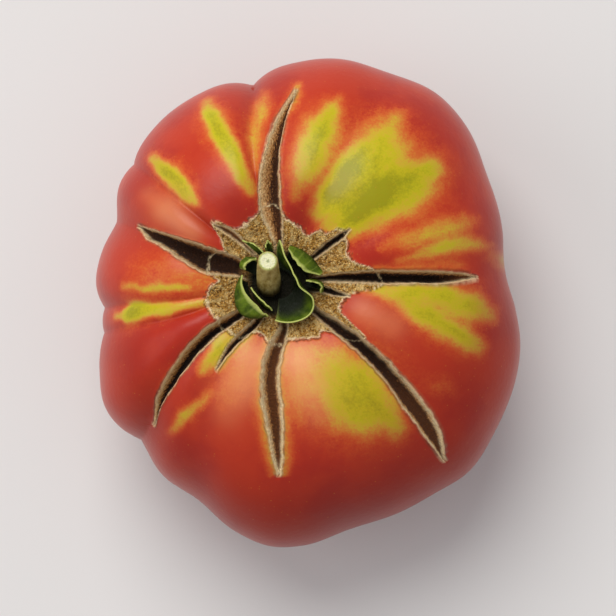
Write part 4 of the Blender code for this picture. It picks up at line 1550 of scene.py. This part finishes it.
@dataclass
class Sepal:
    """One sepal of the calyx: a blade that bellies out over the skin and curls up to a thick rim.

    Attributes:
        node: Its CAD node.
        root_reach: How far its root stands from the stem's axis.
        rows: Rows along it: (root angle, rim angle, belly reach, rim reach, rim height).
        seed: Picks how its rim waves.
    """

    node: str
    root_reach: float
    rows: Rows
    seed: int
    root_height: float = 2.2
    belly_gap: float = 1.7
    length_cells: int = 56
    rise_cells: int = 26
    thickness: float = 0.62
    taper: float = 0.5
    edge_radius: float = 0.12
    wave: float = 0.28

    def curl(self, s: Array, t: Array) -> Array:
        """Curls the flat blade: out from its root, over its belly and up to its rim.

        Args:
            s: How far along the sepal each point is, from 0 to 1.
            t: How far it is from the root to the rim, from 0 to 1.

        Returns:
            The curled points.
        """
        along = np.linspace(0, 1, len(self.rows))
        row = [smooth_curve(list(zip(along, column)), s) for column in zip(*self.rows)]
        root_angle, rim_angle, belly_reach, rim_reach, rim_height = row
        belly_height = FORM.skin_height((root_angle + rim_angle) / 2, belly_reach) + self.belly_gap
        root, belly, rim = (1 - t) ** 2, 2 * t * (1 - t), t * t
        angle = root_angle + (rim_angle - root_angle) * t
        middle = 2 * belly_reach - (self.root_reach + rim_reach) / 2
        reach = root * self.root_reach + belly * middle + rim * rim_reach
        reach = reach + self.wave * value_noise(np.stack([s * 9, t * 1.5, 0 * s], -1), self.seed) * t * t
        middle = 2 * belly_height - (self.root_height + rim_height) / 2
        height = root * self.root_height + belly * middle + rim * rim_height
        height = height + self.wave * value_noise(np.stack([s * 7, t, 0 * s + 3], -1), self.seed + 1) * t * t
        return np.concatenate([plan(angle, reach), height[:, None]], axis=-1) + FORM.floor()

    def thicken(self, sepal: bpy.types.Object, t: Array) -> None:
        """Gives the blade its thickness, less towards its rim, and rounds its edges.

        Args:
            sepal: The curled blade.
            t: How far each vertex is from the root to the rim, from 0 to 1.
        """
        thickness = sepal.vertex_groups.new(name="thickness")
        for index, share in enumerate(1 - self.taper * smooth_step(0.4, 1.0, t)):
            thickness.add([index], float(share), "REPLACE")
        wall = sepal.modifiers.new("blade", "SOLIDIFY")
        wall.thickness = self.thickness * MM
        wall.offset = 0
        wall.vertex_group = thickness.name
        rounded = sepal.modifiers.new("rounded", "BEVEL")
        rounded.width = self.edge_radius * MM
        rounded.segments = 2
        rounded.limit_method = "ANGLE"
        apply_modifiers(sepal)

    def make(self, material: bpy.types.Material) -> bpy.types.Object:
        """Builds the sepal from a flat grid that is curled, thickened and rounded.

        Args:
            material: The sepals' material.

        Returns:
            The finished piece.
        """
        bpy.ops.object.select_all(action="DESELECT")
        bpy.ops.mesh.primitive_grid_add(
            x_subdivisions=self.length_cells, y_subdivisions=self.rise_cells, size=2.0)
        sepal = bpy.context.object
        sepal.name = "tomato_" + self.node
        flat = vertex_places(sepal)
        s, t = (flat[:, 0] + 1) / 2, (flat[:, 1] + 1) / 2
        reshape(sepal, self.curl(s, t))
        # pale rim along the top and the ends, partly a painted highlight
        end_rim = 0.5 * (1 - smooth_step(0.0, 0.03, np.minimum(s, 1 - s))) * t
        paint(sepal, "rim", np.maximum(smooth_step(0.92, 0.985, t), end_rim))
        # painted shade, darkest at the root
        paint(sepal, "root", 1 - smooth_step(0.25, 0.8, t))
        paint(sepal, "vein", bell(np.sin(s * math.pi * 5 + 0.6 * t) / 0.22) * (0.3 + 0.7 * t))
        self.thicken(sepal, t)
        finish_piece(sepal, self.node, material)
        return sepal


@dataclass
class Calyx:
    """The sepals round the stem: an outer whorl and the two that stand closest to it."""

    sepals: tuple[Sepal, ...] = (
        Sepal("sepal_north", 5.4, (
            (113, 111, 8.0, 8.8, 4.6), (107, 106, 8.8, 9.9, 5.4), (101, 102, 8.4, 9.0, 5.0)), 201),
        Sepal("sepal_north_east", 5.9, (
            (74, 76, 8.4, 7.7, 5.2), (62, 61, 8.8, 6.4, 6.6), (46, 40, 9.0, 6.0, 7.2),
            (32, 22, 9.3, 6.6, 6.8), (22, 11, 9.6, 9.4, 5.5)), 211),
        Sepal("sepal_east", 6.0, (
            (8, 6, 6.9, 5.8, 7.2), (4, 3, 8.4, 7.4, 6.9), (0, -2, 9.3, 9.2, 6.0),
            (-6, -13, 9.5, 9.4, 5.2)), 223),
        Sepal("sepal_south_east", 3.4, (
            (100, 90, 7.2, 9.8, 5.8), (92, 78, 5.6, 6.2, 7.4), (74, 52, 4.2, 4.5, 8.2),
            (36, 26, 3.9, 3.8, 8.6), (2, -10, 4.7, 4.5, 8.5), (-24, -25, 7.0, 8.4, 7.8),
            (-50, -44, 8.2, 9.9, 7.0), (-74, -70, 8.0, 9.3, 6.2),
            (-94, -97, 7.4, 8.4, 5.2)), 227, length_cells=110),
        Sepal("sepal_south", 5.6, (
            (206, 188, 6.0, 6.5, 5.6), (218, 206, 6.1, 5.9, 6.4), (230, 226, 6.1, 5.5, 6.8),
            (242, 244, 6.1, 5.7, 6.6), (250, 255, 6.0, 6.3, 5.6)), 233, wave=0.12),
        Sepal("sepal_south_west", 7.2, (
            (178, 167, 8.7, 8.5, 6.2), (188, 184, 9.7, 8.5, 6.9), (202, 206, 10.7, 7.5, 7.4),
            (216, 228, 10.7, 7.1, 7.4), (230, 243, 9.0, 7.5, 7.0), (238, 251, 7.9, 7.8, 6.2)), 239),
        Sepal("sepal_west", 5.6, (
            (138, 133, 7.8, 7.4, 5.4), (144, 141, 9.2, 8.2, 6.6), (151, 149, 9.6, 8.6, 7.0),
            (160, 158, 9.2, 8.5, 6.6)), 241),
        Sepal("sepal_north_west", 5.5, (
            (118, 118, 7.6, 8.0, 4.8), (121, 123, 8.6, 10.4, 5.2), (124, 131, 9.6, 12.8, 5.4)), 251),
    )

    def make(self, material: bpy.types.Material) -> list[bpy.types.Object]:
        """Builds every sepal."""
        return [sepal.make(material) for sepal in self.sepals]


# The studio.

AIM_HEIGHT = 0.03  # where the lights point over the floor, in metres


@dataclass(frozen=True)
class Lamp:
    """One soft, round light that points at the fruit.

    Attributes:
        name: Its name.
        place: Where it stands, in metres.
        size: How wide it is, in metres.
        power: Its power in watts.
        colour: Its colour.
    """

    name: str
    place: tuple[float, float, float]
    size: float
    power: float
    colour: Colour

    def make(self) -> None:
        """Adds the light."""
        data = bpy.data.lights.new(self.name, "AREA")
        data.shape = "DISK"
        data.size = self.size
        data.energy = self.power
        data.color = self.colour
        lamp = bpy.data.objects.new(self.name, data)
        lamp.location = self.place
        to_fruit = Vector((0, 0, AIM_HEIGHT)) - Vector(self.place)
        lamp.rotation_euler = to_fruit.to_track_quat("-Z", "Y").to_euler()
        bpy.context.scene.collection.objects.link(lamp)


@dataclass
class Studio:
    """A pale floor, soft light from the upper left and a camera that looks straight down."""

    floor_size: float = 6.0
    floor_cells: int = 8
    lamps: tuple[Lamp, ...] = (
        Lamp("key", (-0.45, 1.30, 1.80), 1.6, 37.0, (1.0, 0.985, 0.965)),
        Lamp("side", (-1.7, 0.1, 1.3), 1.6, 8.0, (1.0, 0.98, 0.98)),
    )
    air_colour: Colour = (0.95, 0.96, 1.0)
    air_strength: float = 0.46
    camera_height: float = 0.7
    camera_y: float = -0.0012
    sensor: float = 36.0
    view_width: float = 0.1457  # what the frame covers at the fruit's equator, in metres

    def make(self) -> None:
        """Builds the floor, the lights and the camera."""
        bpy.ops.object.select_all(action="DESELECT")
        cells = self.floor_cells
        bpy.ops.mesh.primitive_grid_add(x_subdivisions=cells, y_subdivisions=cells, size=self.floor_size)
        floor = bpy.context.object
        floor.name = "studio_floor"
        floor.data.materials.append(FloorFinish().build())
        for lamp in self.lamps:
            lamp.make()
        world = bpy.data.worlds.new("studio_air")
        world.use_nodes = True
        air = world.node_tree.nodes["Background"].inputs
        air["Color"].default_value = (*self.air_colour, 1.0)
        air["Strength"].default_value = self.air_strength
        bpy.context.scene.world = world
        bpy.context.scene.view_settings.view_transform = "Standard"
        self.camera()

    def camera(self) -> None:
        """Adds the camera, straight above, with +Y up in the picture."""
        data = bpy.data.cameras.new("camera")
        distance = self.camera_height - FORM.equator_z * MM
        data.sensor_width = self.sensor
        data.lens = self.sensor * distance / self.view_width
        data.clip_end = 20.0
        thing = bpy.data.objects.new("camera", data)
        thing.location = (0.0, self.camera_y, self.camera_height)
        bpy.context.scene.collection.objects.link(thing)
        bpy.context.scene.camera = thing


def main() -> None:
    """Builds the studio, then the fruit, its stem and its calyx."""
    logging.basicConfig(level=logging.INFO, format="%(message)s")
    Studio().make()
    Fruit().make(SkinFinish().build())
    Stem().make(StemFinish().build())
    Calyx().make(SepalFinish().build())


if __name__ == "__main__":
    main()
